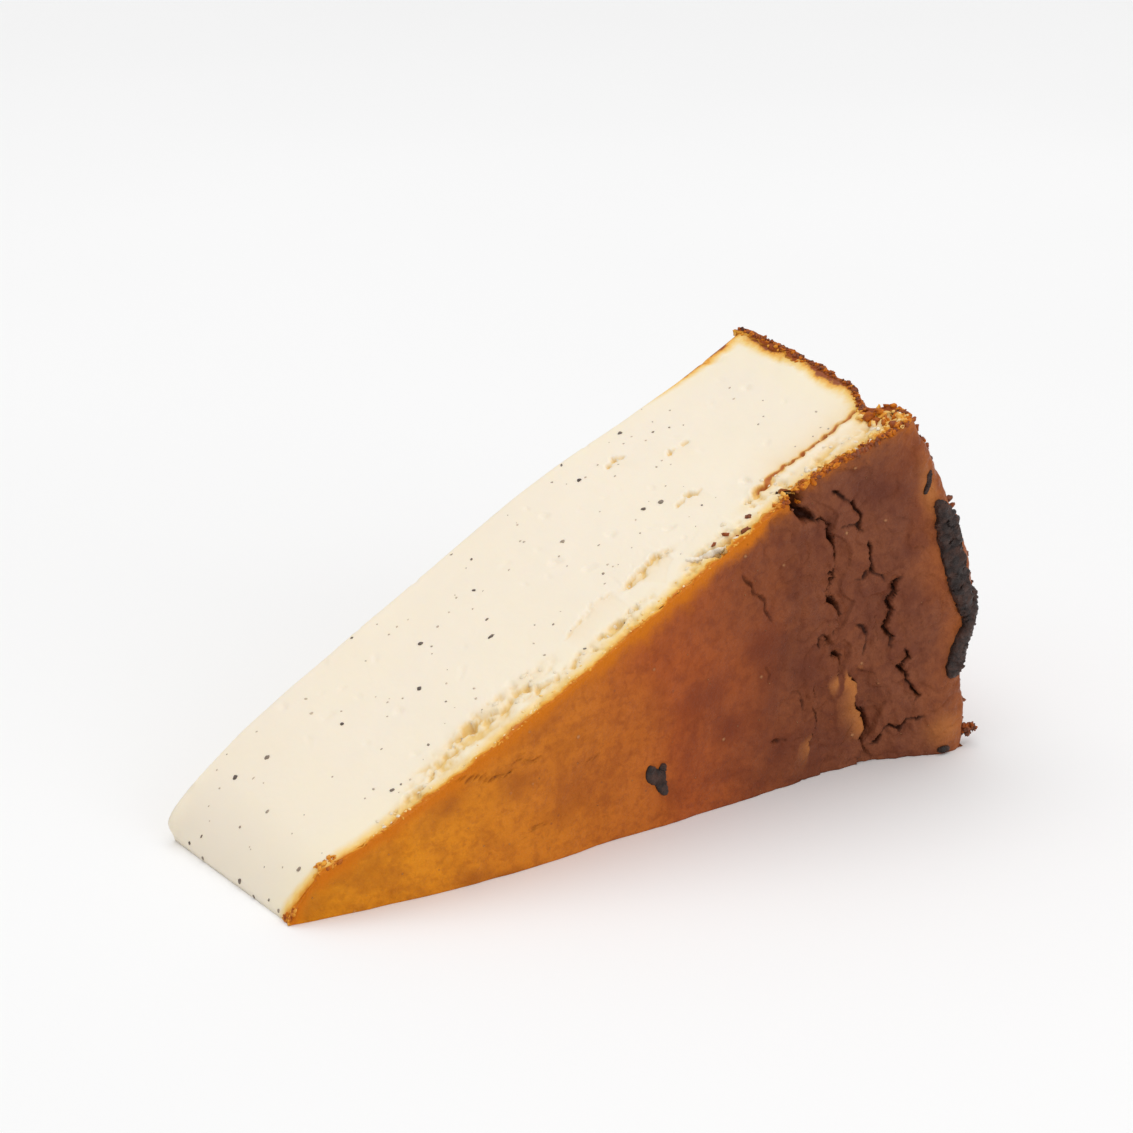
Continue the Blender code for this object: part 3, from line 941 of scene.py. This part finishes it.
def cut_tears():
    """Tears in the upper cut face, by radius and height: width, depth and step in millimetres."""
    tears = Tears()
    routes = (
        ([(129.6, 38.4), (126.5, 36.6), (121.0, 36.2), (115.0, 35.8), (110.4, 35.0), (107.2, 35.3)],
         0.9, 0.7, -0.5),
        ([(88.8, 37.8), (92.0, 39.4), (95.5, 39.6), (98.6, 39.9)], 1.0, 0.9, 0.5),
        ([(79.8, 33.0), (83.6, 32.0), (86.0, 31.9), (88.4, 32.4)], 0.7, 0.5, 0.3),
        ([(103.5, 36.4), (105.6, 35.4), (107.2, 35.8)], 1.0, 0.7, 0.2),
        ([(42.5, 32.6), (46.0, 33.8), (49.6, 34.2), (53.0, 35.6)], 1.2, 0.7, 0.5),
        ([(36.0, 36.0), (39.0, 34.9), (43.0, 35.4)], 0.9, 0.6, 0.3),
        ([(54.0, 36.6), (58.0, 37.0), (61.5, 37.6)], 0.8, 0.4, 0.3),
        ([(66.0, 33.0), (74.0, 31.4), (78.0, 31.8)], 0.5, 0.2, 0.2),
        ([(97.0, 9.0), (99.6, 8.0), (101.0, 8.8)], 0.9, 0.45, 0.1),
        ([(104.0, 15.5), (107.0, 15.0), (109.2, 16.0)], 0.8, 0.45, 0.1),
        ([(96.0, 26.6), (99.0, 26.0), (101.4, 27.2)], 0.9, 0.45, 0.1),
        ([(30.5, 36.4), (33.0, 35.4), (35.0, 36.2)], 0.6, 0.4, 0.2),
    )
    for seed, (spots, width, depth, step) in enumerate(routes):
        line = [(radius * MM, height * MM) for radius, height in spots]
        tears.add(line, width * MM, depth * MM, step * MM, jags=0.45 * MM, jag_length=0.9 * MM, seed=40 + seed)
    return tears


# Where the cut face is torn: middle (radius, height), reach along and up, all in millimetres.
TORN_ZONES = (
    ((48.0, 34.4), 13.0, 2.4), ((92.5, 39.4), 7.5, 2.2), ((105.0, 36.6), 5.0, 1.6), ((124.0, 43.0), 9.0, 4.2),
    ((84.0, 32.8), 5.5, 1.0), ((112.0, 39.0), 9.0, 1.6), ((70.0, 37.8), 10.0, 1.2), ((31.0, 36.0), 5.0, 1.2),
)


def torn_share(radius, height):
    """How torn the cut face is at a radius and height, 0 to 1."""
    total = np.zeros(np.shape(radius))
    for (middle_radius, middle_height), along, up in TORN_ZONES:
        away = (radius / MM - middle_radius) / along
        rise = (height / MM - middle_height) / up
        total = np.maximum(total, np.exp(-(away ** 2 + rise ** 2) ** 2))
    return total


def soften_corner(distances, reach):
    """Round the edges where faces meet: distances from three faces, each moved on to a ball."""
    short = reach - np.minimum(distances, reach)
    size = np.linalg.norm(short, axis=0)
    scale = np.where(size > reach, reach / np.maximum(size, 1e-9), 1.0)
    moved = reach - short * scale
    return np.where(distances < reach, moved, distances)


CRUMB_CELLS = (340, 112, 14)             # cells along the radius, up the height and across


def make_crumb(material):
    """The pale body: both cut faces, the blunt tip and the base, reaching in under the crust."""
    counts = CRUMB_CELLS
    spots, faces = box_surface(counts)
    along = long_shares(counts[0])[spots[:, 0]]
    up = high_shares(counts[1])[spots[:, 1]]
    across = spots[:, 2] / counts[2]
    angle = SLICE_ANGLE * across
    inner = tip_radius(up, across)
    level = CENTRE_HEIGHT + (SHOULDER_RISE + LIP_RISE) * along
    outer = side_radius(level * up, angle) - CRUST_OVERLAP
    radius = inner + (outer - inner) * along
    full_height = top_height(radius, angle)

    fissures = top_fissures().measure(np.stack([radius * np.cos(angle), radius * np.sin(angle)], axis=-1))
    notch = np.maximum(-groove(fissures[:, 0], fissures[:, 2]), 0.0)
    from_edge = np.minimum.reduce([angle * radius, (SLICE_ANGLE - angle) * radius, radius - inner])
    inset = CRUST_OVERLAP + notch + CORE_INSET * smooth_step(1.0 * MM, 3.0 * MM, from_edge)
    height = np.minimum(full_height * up, full_height - inset)
    hidden = smooth_step(1.0 * MM, 3.0 * MM, np.minimum(angle, SLICE_ANGLE - angle) * radius)
    radius = np.minimum(radius, outer - CORE_INSET * hidden * smooth_step(0.0, 3.0 * MM, height))

    from_tip, from_upper = soften_corner(np.stack([radius - inner, (SLICE_ANGLE - angle) * radius]), 0.9 * MM)
    radius = inner + from_tip
    angle = SLICE_ANGLE - from_upper / radius
    height, from_upper = soften_corner(np.stack([height, (SLICE_ANGLE - angle) * radius]), 1.0 * MM)
    angle = SLICE_ANGLE - from_upper / radius

    belly = BASE_BULGE * np.sin(math.pi * along) * (1.0 - up)
    points = place(radius, angle, height)
    points[:, 1] += belly
    points[:, 2] += sag(radius, up, across)

    top = spots[:, 2] == counts[2]
    base = (spots[:, 1] == 0) & ~top
    below_skin = full_height - height
    to_side = side_radius(height, angle) - radius
    above_base = 0.3 * MM + height + 0.14 * np.maximum(130 * MM - radius, 0.0)
    depth_in = np.where(top, np.minimum(below_skin, to_side), below_skin)
    depth_in = np.minimum(depth_in, above_base)
    pit_tint_and_shade = np.zeros(len(points))
    fold = np.zeros(len(points))
    upper = points[top]
    near, distance, depth, step, _, _, toward_up = cut_tears().measure(
        np.stack([radius[top], height[top]], axis=-1)).T
    tears = groove(near, depth)
    tears += 0.6 * step * np.clip(3.0 * toward_up, -1.0, 1.0) * np.exp(-distance / (2.6 * MM)) * (near > 1.0)
    torn = torn_share(radius[top], height[top])
    rough = lumps(upper, 1.5 * MM, seed=12, octaves=4)
    coarse = lumps(upper, 3.4 * MM, seed=17, octaves=3)
    sponge = (np.minimum(rough + 0.02, 0.0) * 1.0 + np.minimum(coarse, 0.0) * 0.9) * MM * torn
    near_skin = bell(below_skin[top] - 1.6 * MM, 1.6 * MM) * smooth_step(28 * MM, 44 * MM, radius[top])
    sponge += np.minimum(rough, 0.0) * 0.45 * MM * near_skin
    waves = 0.20 * MM * lumps(upper, 20 * MM, seed=13) + 0.05 * MM * lumps(upper, 6 * MM, seed=14)
    dimples = -0.22 * MM * np.maximum(lumps(upper, 2.6 * MM, seed=18, octaves=1) - 0.52, 0.0) / 0.2
    relief = waves + tears + sponge + dimples
    points[top] += CUT_NORMAL * relief[:, None]
    rim_corner = bell(radius[top] - 124 * MM, 9 * MM) * bell(height[top] - 43 * MM, 4.5 * MM)
    # The tint in tears and sponge hollows grows with their depth: painted shade. The torn patches and the rim corner
    # add the crumb's own yellower tint.
    pit_tint_and_shade[top] = np.clip(-(np.minimum(tears, 0.0) + sponge) / (0.50 * MM), 0.0, 1.0) * 0.9
    pit_tint_and_shade[top] = np.maximum(pit_tint_and_shade[top], 0.30 * torn * (coarse > -0.1) + 0.35 * rim_corner)
    on_fold = between(radius[top], 106 * MM, 130 * MM, 2 * MM) * between(height[top], 34 * MM, 38.5 * MM, 1 * MM)
    fold[top] = np.exp(-(distance / (0.7 * MM)) ** 2) * on_fold
    points[base, 1] += 0.25 * MM * lumps(points[base], 6 * MM, seed=15)
    points[:, 2] = np.maximum(points[:, 2], 0.0)
    traits = {
        "below_skin": depth_in,
        "pit_tint_and_shade": pit_tint_and_shade,
        "fold": fold,
        "rim": smooth_step(100 * MM, 118 * MM, radius),
        "base": base * smooth_step(0.5 * MM, 5.0 * MM, from_edge),
    }
    crumb = mesh_object("crumb", points, np.asarray(faces)[:, ::-1], material, traits)
    blunt = (radius < 30 * MM) & (below_skin > 2.5 * MM) & (points[:, 2] > 1.0 * MM) & (height > 1.0 * MM)
    soften_tip(crumb, np.flatnonzero(blunt))
    return crumb


def soften_tip(piece, chosen, rounds=110):
    """Melt the edge between the tip face and the cut face into one soft turn."""
    work = bmesh.new()
    work.from_mesh(piece.data)
    work.verts.ensure_lookup_table()
    vertices = [work.verts[number] for number in chosen]
    for _ in range(rounds):
        bmesh.ops.smooth_vert(work, verts=vertices, factor=0.5, use_axis_x=True, use_axis_y=True, use_axis_z=True)
    work.to_mesh(piece.data)
    work.free()


# ---------------------------------------------------------------- small things on the slice
def over_cut(skin, radius, height):
    """A place on the upper cut face, from radius and height in metres, and the way out of it."""
    outward = Vector(CUT_NORMAL)
    on_plane = Vector(place(radius, SLICE_ANGLE, height))
    spot, normal = skin.touch(on_plane + outward * 12 * MM, -outward)
    if spot is None or (spot - on_plane).dot(outward) < -2.2 * MM:
        return None, None
    return spot, normal


def over_top(skin, radius, angle):
    """A place on the browned top, from radius in metres and angle, and the way out of it."""
    start = Vector(place(radius, angle, top_height(radius, angle) + 10 * MM))
    return skin.touch(start, Vector((0.0, 1.0, 0.0)))


def over_lip(skin, radius, angle, height):
    """The place on the lip or side that is nearest to a spot just outside it."""
    return skin.nearest(Vector(place(radius, angle, height)))


def make_crust_crumbs(skin, material):
    """Baked crumbs that cling to the cut edges of the crust, thickest along the rim."""
    draw = random.Random(21)
    grains = []

    def settle(hit, size, flatness, tone, sunk=0.35):
        if hit[0] is not None and hit[1].y > -0.75:
            grains.append((*hit, size * MM, flatness, sunk, tone))

    for _ in range(560):
        radius = draw.uniform(104, 134) * MM
        below = abs(draw.gauss(0.0, 1.15)) * MM
        height = top_height(radius, SLICE_ANGLE) - below
        tone = 0.72 - 0.20 * below / MM + draw.uniform(-0.16, 0.24)
        settle(over_cut(skin, radius, height), draw.uniform(0.3, 1.05), draw.uniform(0.35, 0.8), tone, sunk=0.45)
    for _ in range(130):
        radius = draw.uniform(125, 134.5) * MM
        height = top_height(radius, SLICE_ANGLE) - draw.uniform(0.0, 8.5) * MM
        settle(over_cut(skin, radius, height), draw.uniform(0.5, 1.5), 0.7, draw.uniform(0.15, 0.7), sunk=0.45)
    for _ in range(330):
        height = draw.uniform(0.0, 46) * MM
        inward = abs(draw.gauss(0.0, 0.5)) * MM
        radius = side_radius(height, SLICE_ANGLE) - inward
        tone = draw.uniform(0.62, 1.0) - 0.25 * inward / MM
        settle(over_cut(skin, radius, height), draw.uniform(0.25, 0.75), draw.uniform(0.4, 0.9), tone)
    for _ in range(150):
        radius = draw.uniform(22, 104) * MM
        below = 0.3 * MM + abs(draw.gauss(0.3, 0.9)) * MM
        height = top_height(radius, SLICE_ANGLE) - below
        tone = draw.uniform(0.34, 0.5) if below < 1.0 * MM else draw.uniform(0.1, 0.2)
        settle(over_cut(skin, radius, height), draw.uniform(0.25, 0.6), 0.35, tone, sunk=0.6)
    for _ in range(130):
        angle = SLICE_ANGLE * draw.random()
        reach = tip_radius(1.0, angle / SLICE_ANGLE)
        height = top_height(reach, angle) - abs(draw.gauss(0.4, 0.8)) * MM
        start = Vector(place(reach - 8 * MM, angle, height))
        tone = draw.uniform(0.36, 0.66)
        settle(skin.touch(start, Vector((1.0, 0.0, 0.0))), draw.uniform(0.25, 0.9), 0.45, tone, sunk=0.5)
    for _ in range(34):
        radius = (draw.uniform(0.0, 3.0) + 16.0) * MM
        height = top_height(radius, SLICE_ANGLE) - draw.uniform(0.2, 3.0) * MM
        settle(over_cut(skin, radius, height), draw.uniform(0.3, 0.9), 0.45, draw.uniform(0.36, 0.62), sunk=0.5)
    for _ in range(120):
        angle = SLICE_ANGLE * draw.random()
        height = top_height(CAKE_RADIUS, angle) - draw.uniform(1.0, 14.0) * MM
        hit = over_lip(skin, side_radius(height, angle) + 4 * MM, angle, height)
        settle(hit, draw.uniform(0.3, 0.8), draw.uniform(0.7, 2.0), draw.uniform(0.55, 1.0), sunk=0.3)
    for degrees in (25.4, 24.0, 22.8, 21.6, 20.2, 19.0, 17.0, 14.2, 12.6, 11.0, 8.0, 5.0, 2.4):
        angle = math.radians(degrees + draw.uniform(-0.4, 0.4))
        height = top_height(CAKE_RADIUS, angle) - draw.uniform(1.5, 5.0) * MM
        for _ in range(5):
            near_by = angle + math.radians(draw.uniform(-0.5, 0.5))
            hit = over_lip(skin, side_radius(height, near_by) + 4 * MM, near_by, height + draw.uniform(-0.8, 0.8) * MM)
            settle(hit, draw.uniform(0.4, 1.1), draw.uniform(0.8, 1.8), draw.uniform(0.6, 0.98), sunk=0.25)
    for radius, height in ((96.6, 39.6), (97.5, 39.5), (98.2, 39.9), (95.6, 38.7), (100.4, 38.5), (93.0, 38.6)):
        settle(over_cut(skin, radius * MM, height * MM), draw.uniform(0.8, 1.4), 0.4, draw.uniform(0.7, 0.88))
    for radius, height, size in ((126.2, 39.8, 2.2), (128.0, 40.6, 1.4), (128.6, 37.6, 1.2), (127.3, 37.3, 0.8)):
        settle(over_cut(skin, radius * MM, height * MM), size, 0.5, draw.uniform(0.5, 0.66))
    return scatter("crust_crumbs", grains, material)


def loose_crumb(below_skin, pit_tint_and_shade):
    """What the crumb's material reads at its points, for a bit of crumb apart from the body."""
    return (("below_skin", below_skin), ("pit_tint_and_shade", pit_tint_and_shade), ("fold", 0.0), ("rim", 0.0), ("base", 0.0))


def make_torn_crumb(skin, material):
    """Loose flakes of pale crumb, lifted by the knife in the torn patches of the cut face."""
    draw = random.Random(33)
    grains = []
    for (middle_radius, middle_height), along, up in TORN_ZONES:
        for _ in range(int(0.5 * along * up) + 3):
            radius = (middle_radius + along * draw.uniform(-1.0, 1.0)) * MM
            height = (middle_height + up * draw.gauss(0.0, 0.55)) * MM
            hit = over_cut(skin, radius, height)
            if hit[0] is not None and height < top_height(radius, SLICE_ANGLE) - 1.2 * MM:
                grains.append((*hit, draw.uniform(0.4, 1.2) * MM, draw.uniform(0.35, 0.5), 0.6, 0.0))
    return scatter("torn_crumb", grains, material, loose_crumb(6 * MM, 0.22),
                   longest=1.2, narrowest=0.7, crags=0.10)


def make_burnt_ridges(skin, material):
    """Two blackened, wrinkled folds that lie along the lip."""
    def at(radius, degrees, lift=1.5):
        angle = math.radians(degrees)
        return over_lip(skin, radius * MM, angle, top_height(CAKE_RADIUS, angle) + lift * MM)[0]

    upper = [at(127.8, 20.0), at(129.0, 18.4), at(129.0, 16.4), at(128.8, 14.2), at(129.4, 12.0), at(129.6, 10.0)]
    lower = [at(134.0, 11.6, -1.5), at(133.0, 10.4, -0.5), at(130.7, 8.9), at(128.4, 7.4), at(125.9, 5.8)]
    widths = (2.4 * MM, 4.2 * MM, 4.4 * MM, 3.8 * MM, 3.0 * MM)
    strips = [
        laid_strip(skin, upper, widths, 1.25 * MM, seed=2.0, steps=130, ring=40),
        laid_strip(skin, lower, (3.0 * MM, 3.4 * MM, 3.2 * MM, 3.6 * MM, 3.4 * MM), 1.3 * MM, seed=5.0,
                   steps=110, ring=40),
    ]
    return joined_strips("burnt_ridges", strips, material)


def make_skin_flakes(skin, material):
    """Small burnt bits: a curved flake, a short stroke by the lip and a drop under it."""
    def at(radius, degrees):
        return over_top(skin, radius * MM, math.radians(degrees))[0]

    flake = [at(69.8, 8.8), at(70.2, 7.4), at(71.4, 6.4), at(71.8, 5.2), at(72.6, 4.0)]
    barb = [at(72.6, 8.2), at(72.0, 7.4), at(71.2, 6.6)]
    stroke = [at(126.6, 20.8), at(127.6, 21.5), at(128.8, 22.3)]
    drop = [over_lip(skin, radius * MM, math.radians(0.35), 47.5 * MM)[0] for radius in (123.4, 124.6, 126.0)]
    strips = [
        laid_strip(skin, flake, (1.2 * MM, 2.6 * MM, 2.4 * MM, 1.8 * MM, 1.3 * MM), 0.45 * MM, 3.0, steps=60, ring=24),
        laid_strip(skin, barb, (1.0 * MM, 1.5 * MM, 1.6 * MM), 0.40 * MM, 4.0, steps=40, ring=20),
        laid_strip(skin, stroke, (0.7 * MM, 1.1 * MM, 0.8 * MM), 0.35 * MM, 6.0, steps=40, ring=16),
        laid_strip(skin, drop, (0.8 * MM, 1.2 * MM, 0.9 * MM), 0.5 * MM, 7.0, wrinkle=0.05, steps=30, ring=20),
    ]
    return joined_strips("burnt_flakes", strips, material)


# Seeds on the cut face: radius, height and length in millimetres, and how faint they are.
SEEDS = (
    (20.6, 6.8, 1.2, 0.1), (18.9, 17.4, 0.7, 0.5), (11.3, 7.7, 0.7, 0.2), (15.0, 14.7, 0.6, 0.4),
    (25.8, 8.7, 1.1, 0.3), (14.6, 30.5, 0.8, 0.4), (49.7, 0.4, 0.6, 0.2), (36.6, 14.3, 0.8, 0.0),
    (32.0, 32.2, 0.9, 0.2), (33.5, 32.5, 0.5, 0.3), (48.0, 19.6, 0.9, 0.0), (41.0, 30.1, 0.6, 0.3),
    (54.7, 11.9, 0.9, 0.1), (48.3, 25.7, 0.6, 0.4), (70.8, 0.4, 0.5, 0.3), (71.7, 4.4, 0.7, 0.2),
    (67.1, 10.4, 0.8, 0.1), (63.7, 17.6, 0.7, 0.3), (61.5, 21.2, 1.1, 0.1), (94.8, 0.4, 0.6, 0.1),
    (68.2, 28.4, 0.6, 0.4), (81.9, 15.3, 1.0, 0.5), (93.5, 6.3, 1.1, 0.0), (67.1, 36.9, 0.6, 0.2),
    (105.7, 2.4, 1.1, 0.1), (74.3, 38.0, 0.6, 0.1), (93.7, 21.5, 1.1, 0.1), (108.5, 7.4, 0.6, 0.4),
    (96.3, 22.8, 1.3, 0.3), (110.6, 9.1, 0.6, 0.4), (98.9, 29.5, 0.5, 0.0), (80.0, 27.0, 0.6, 0.5),
)


def make_vanilla_flecks(skin, material):
    """Vanilla seeds in the crumb: the dark ones at their places, and faint ones scattered between."""
    draw = random.Random(5)
    grains = []
    for radius, height, length, faint in SEEDS:
        hit = over_cut(skin, radius * MM, height * MM)
        if hit[0] is not None:
            grains.append((*hit, 0.8 * length * MM, 0.32, 0.42, faint))
    for _ in range(110):
        radius = draw.uniform(12, 124) * MM
        height = draw.uniform(0.5, 35) * MM
        hit = over_cut(skin, radius, height)
        if hit[0] is not None:
            grains.append((*hit, draw.uniform(0.22, 0.5) * MM, 0.25, 0.45, draw.uniform(0.55, 1.0)))
    for angle_share, height in ((0.25, 9.0), (0.55, 20.0), (0.4, 31.0), (0.15, 24.0), (0.7, 5.0), (0.62, 28.0)):
        angle = SLICE_ANGLE * angle_share
        start = Vector(place(0.5 * TIP_RADIUS, angle, height * MM)) - Vector((20 * MM, 0.0, 0.0))
        hit = skin.touch(start, Vector((1.0, 0.0, 0.0)))
        if hit[0] is not None:
            grains.append((*hit, draw.uniform(0.4, 0.8) * MM, 0.3, 0.4, draw.uniform(0.1, 0.5)))
    return scatter("vanilla_flecks", grains, material, longest=1.2, narrowest=0.65, crags=0.15)


def make_smear(skin, material):
    """A white ridge of cheese, pushed up beside the tear."""
    route = [over_cut(skin, radius * MM, height * MM)[0] for radius, height in
             ((88.4, 36.8), (90.0, 37.8), (92.0, 38.9), (94.2, 39.9))]
    widths = (0.6 * MM, 1.2 * MM, 1.4 * MM, 0.8 * MM)
    strips = [laid_strip(skin, route, widths, 0.38 * MM, 9.0, wrinkle=0.05, steps=50, ring=20)]
    return joined_strips("smear", strips, material, loose_crumb(20 * MM, 0.0))


def make_syrup_bead(skin, material):
    """A drop of browned syrup that has run out at the torn edge."""
    spots = ((91.4, 40.0), (92.2, 40.7), (93.2, 41.3))
    route = [over_cut(skin, radius * MM, height * MM)[0] for radius, height in spots]
    widths = (1.6 * MM, 2.0 * MM, 1.4 * MM)
    strips = [laid_strip(skin, route, widths, 0.5 * MM, 12.0, wrinkle=0.0, steps=30, ring=20)]
    return joined_strips("syrup_bead", strips, material)


def make_torn_corner(skin, material):
    """A torn scrap of crust that sticks out at the foot of the lip."""
    grains = []
    root = Vector(place(129.8 * MM, math.radians(0.6), 46.0 * MM))
    draw = random.Random(8)
    for number in range(48):
        share = (number / 47) ** 0.8
        narrow = 1.0 - 0.8 * share
        aside = draw.uniform(-0.6, 0.6)
        spot = root + Vector((2.9 * share, aside, 1.0 * share + narrow * draw.uniform(0.0, 2.2))) * MM
        size = (1.2 - 0.75 * share) * draw.uniform(0.7, 1.2) * MM
        outward = Vector((draw.uniform(-1.0, 1.0), -1.0, draw.uniform(-0.5, 1.0))).normalized()
        grains.append((spot, outward, size, 0.6, 0.5, draw.uniform(0.66, 0.98)))
    return scatter("torn_crust_corner", grains, material)


# ---------------------------------------------------------------- stage, light and camera
def add_floor():
    bpy.ops.mesh.primitive_plane_add(size=8.0, location=(0.0, 0.0, -0.00005))
    floor = bpy.context.object
    floor.name = "floor"
    material, tree, shader = start_material("pale_floor")
    shade = cloud_noise(tree, 0.35, detail=2.0)
    colour = mix_colour(tree, soft_range(tree, shade, 0.3, 0.7), (0.93, 0.93, 0.93, 1.0), (0.95, 0.95, 0.95, 1.0))
    feed(tree, shader.inputs["Base Color"], colour)
    shader.inputs["Roughness"].default_value = 0.8
    shader.inputs["Specular IOR Level"].default_value = 0.1
    floor.data.materials.append(material)


def add_softbox(name, place_at, aim, size, watts):
    lamp = bpy.data.lights.new(name, "AREA")
    lamp.shape = "RECTANGLE"
    lamp.size, lamp.size_y = size
    lamp.energy = watts
    holder = bpy.data.objects.new(name, lamp)
    holder.location = place_at
    holder.rotation_euler = (Vector(aim) - Vector(place_at)).to_track_quat("-Z", "Y").to_euler()
    bpy.context.scene.collection.objects.link(holder)


def add_light():
    add_softbox("overhead", (0.10, 0.25, 1.7), (0.05, 0.25, 0.0), (2.2, 2.2), 19.4)
    add_softbox("front", (0.15, -1.3, 0.55), (0.0, 0.0, 0.03), (1.2, 0.8), 3.8)
    world = bpy.data.worlds.new("studio")
    world.use_nodes = True
    background = world.node_tree.nodes["Background"]
    background.inputs["Color"].default_value = (1.0, 1.0, 1.0, 1.0)
    background.inputs["Strength"].default_value = 0.54
    bpy.context.scene.world = world


def add_camera():
    """A long lens from the front left, looking a little down on the slice."""
    azimuth = math.radians(-37.7)
    elevation = math.radians(19.8)
    distance = 0.563
    back = Vector((math.sin(azimuth) * math.cos(elevation), -math.cos(azimuth) * math.cos(elevation),
                   math.sin(elevation)))
    aim = Vector((APEX_X + 0.1312, BASE_Y + 0.0599, 0.0))
    lens = bpy.data.cameras.new("camera")
    lens.lens = 95.3
    lens.sensor_width = 36.0
    lens.clip_start = 0.01
    camera = bpy.data.objects.new("camera", lens)
    camera.location = aim + back * distance
    camera.rotation_euler = back.to_track_quat("Z", "Y").to_euler()
    bpy.context.scene.collection.objects.link(camera)
    bpy.context.scene.camera = camera


# ---------------------------------------------------------------- putting it together
bpy.context.scene.view_settings.view_transform = "Standard"
add_camera()
add_light()
add_floor()
set_cheese = set_cheese_material()
browned_skin = browned_skin_material()
crumb_grain = crust_crumb_material()
char = char_material()

crumb = make_crumb(set_cheese)
crust = make_crust(browned_skin)
skin = Skin(crumb, crust)
pieces = [
    crumb,
    crust,
    make_burnt_ridges(skin, char),
    make_skin_flakes(skin, char),
    make_crust_crumbs(skin, crumb_grain),
    make_torn_corner(skin, crumb_grain),
    make_torn_crumb(skin, set_cheese),
    make_vanilla_flecks(skin, vanilla_material()),
    make_smear(skin, set_cheese),
    make_syrup_bead(skin, syrup_material()),
]
for piece in pieces:
    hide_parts("cheesecake_slice")
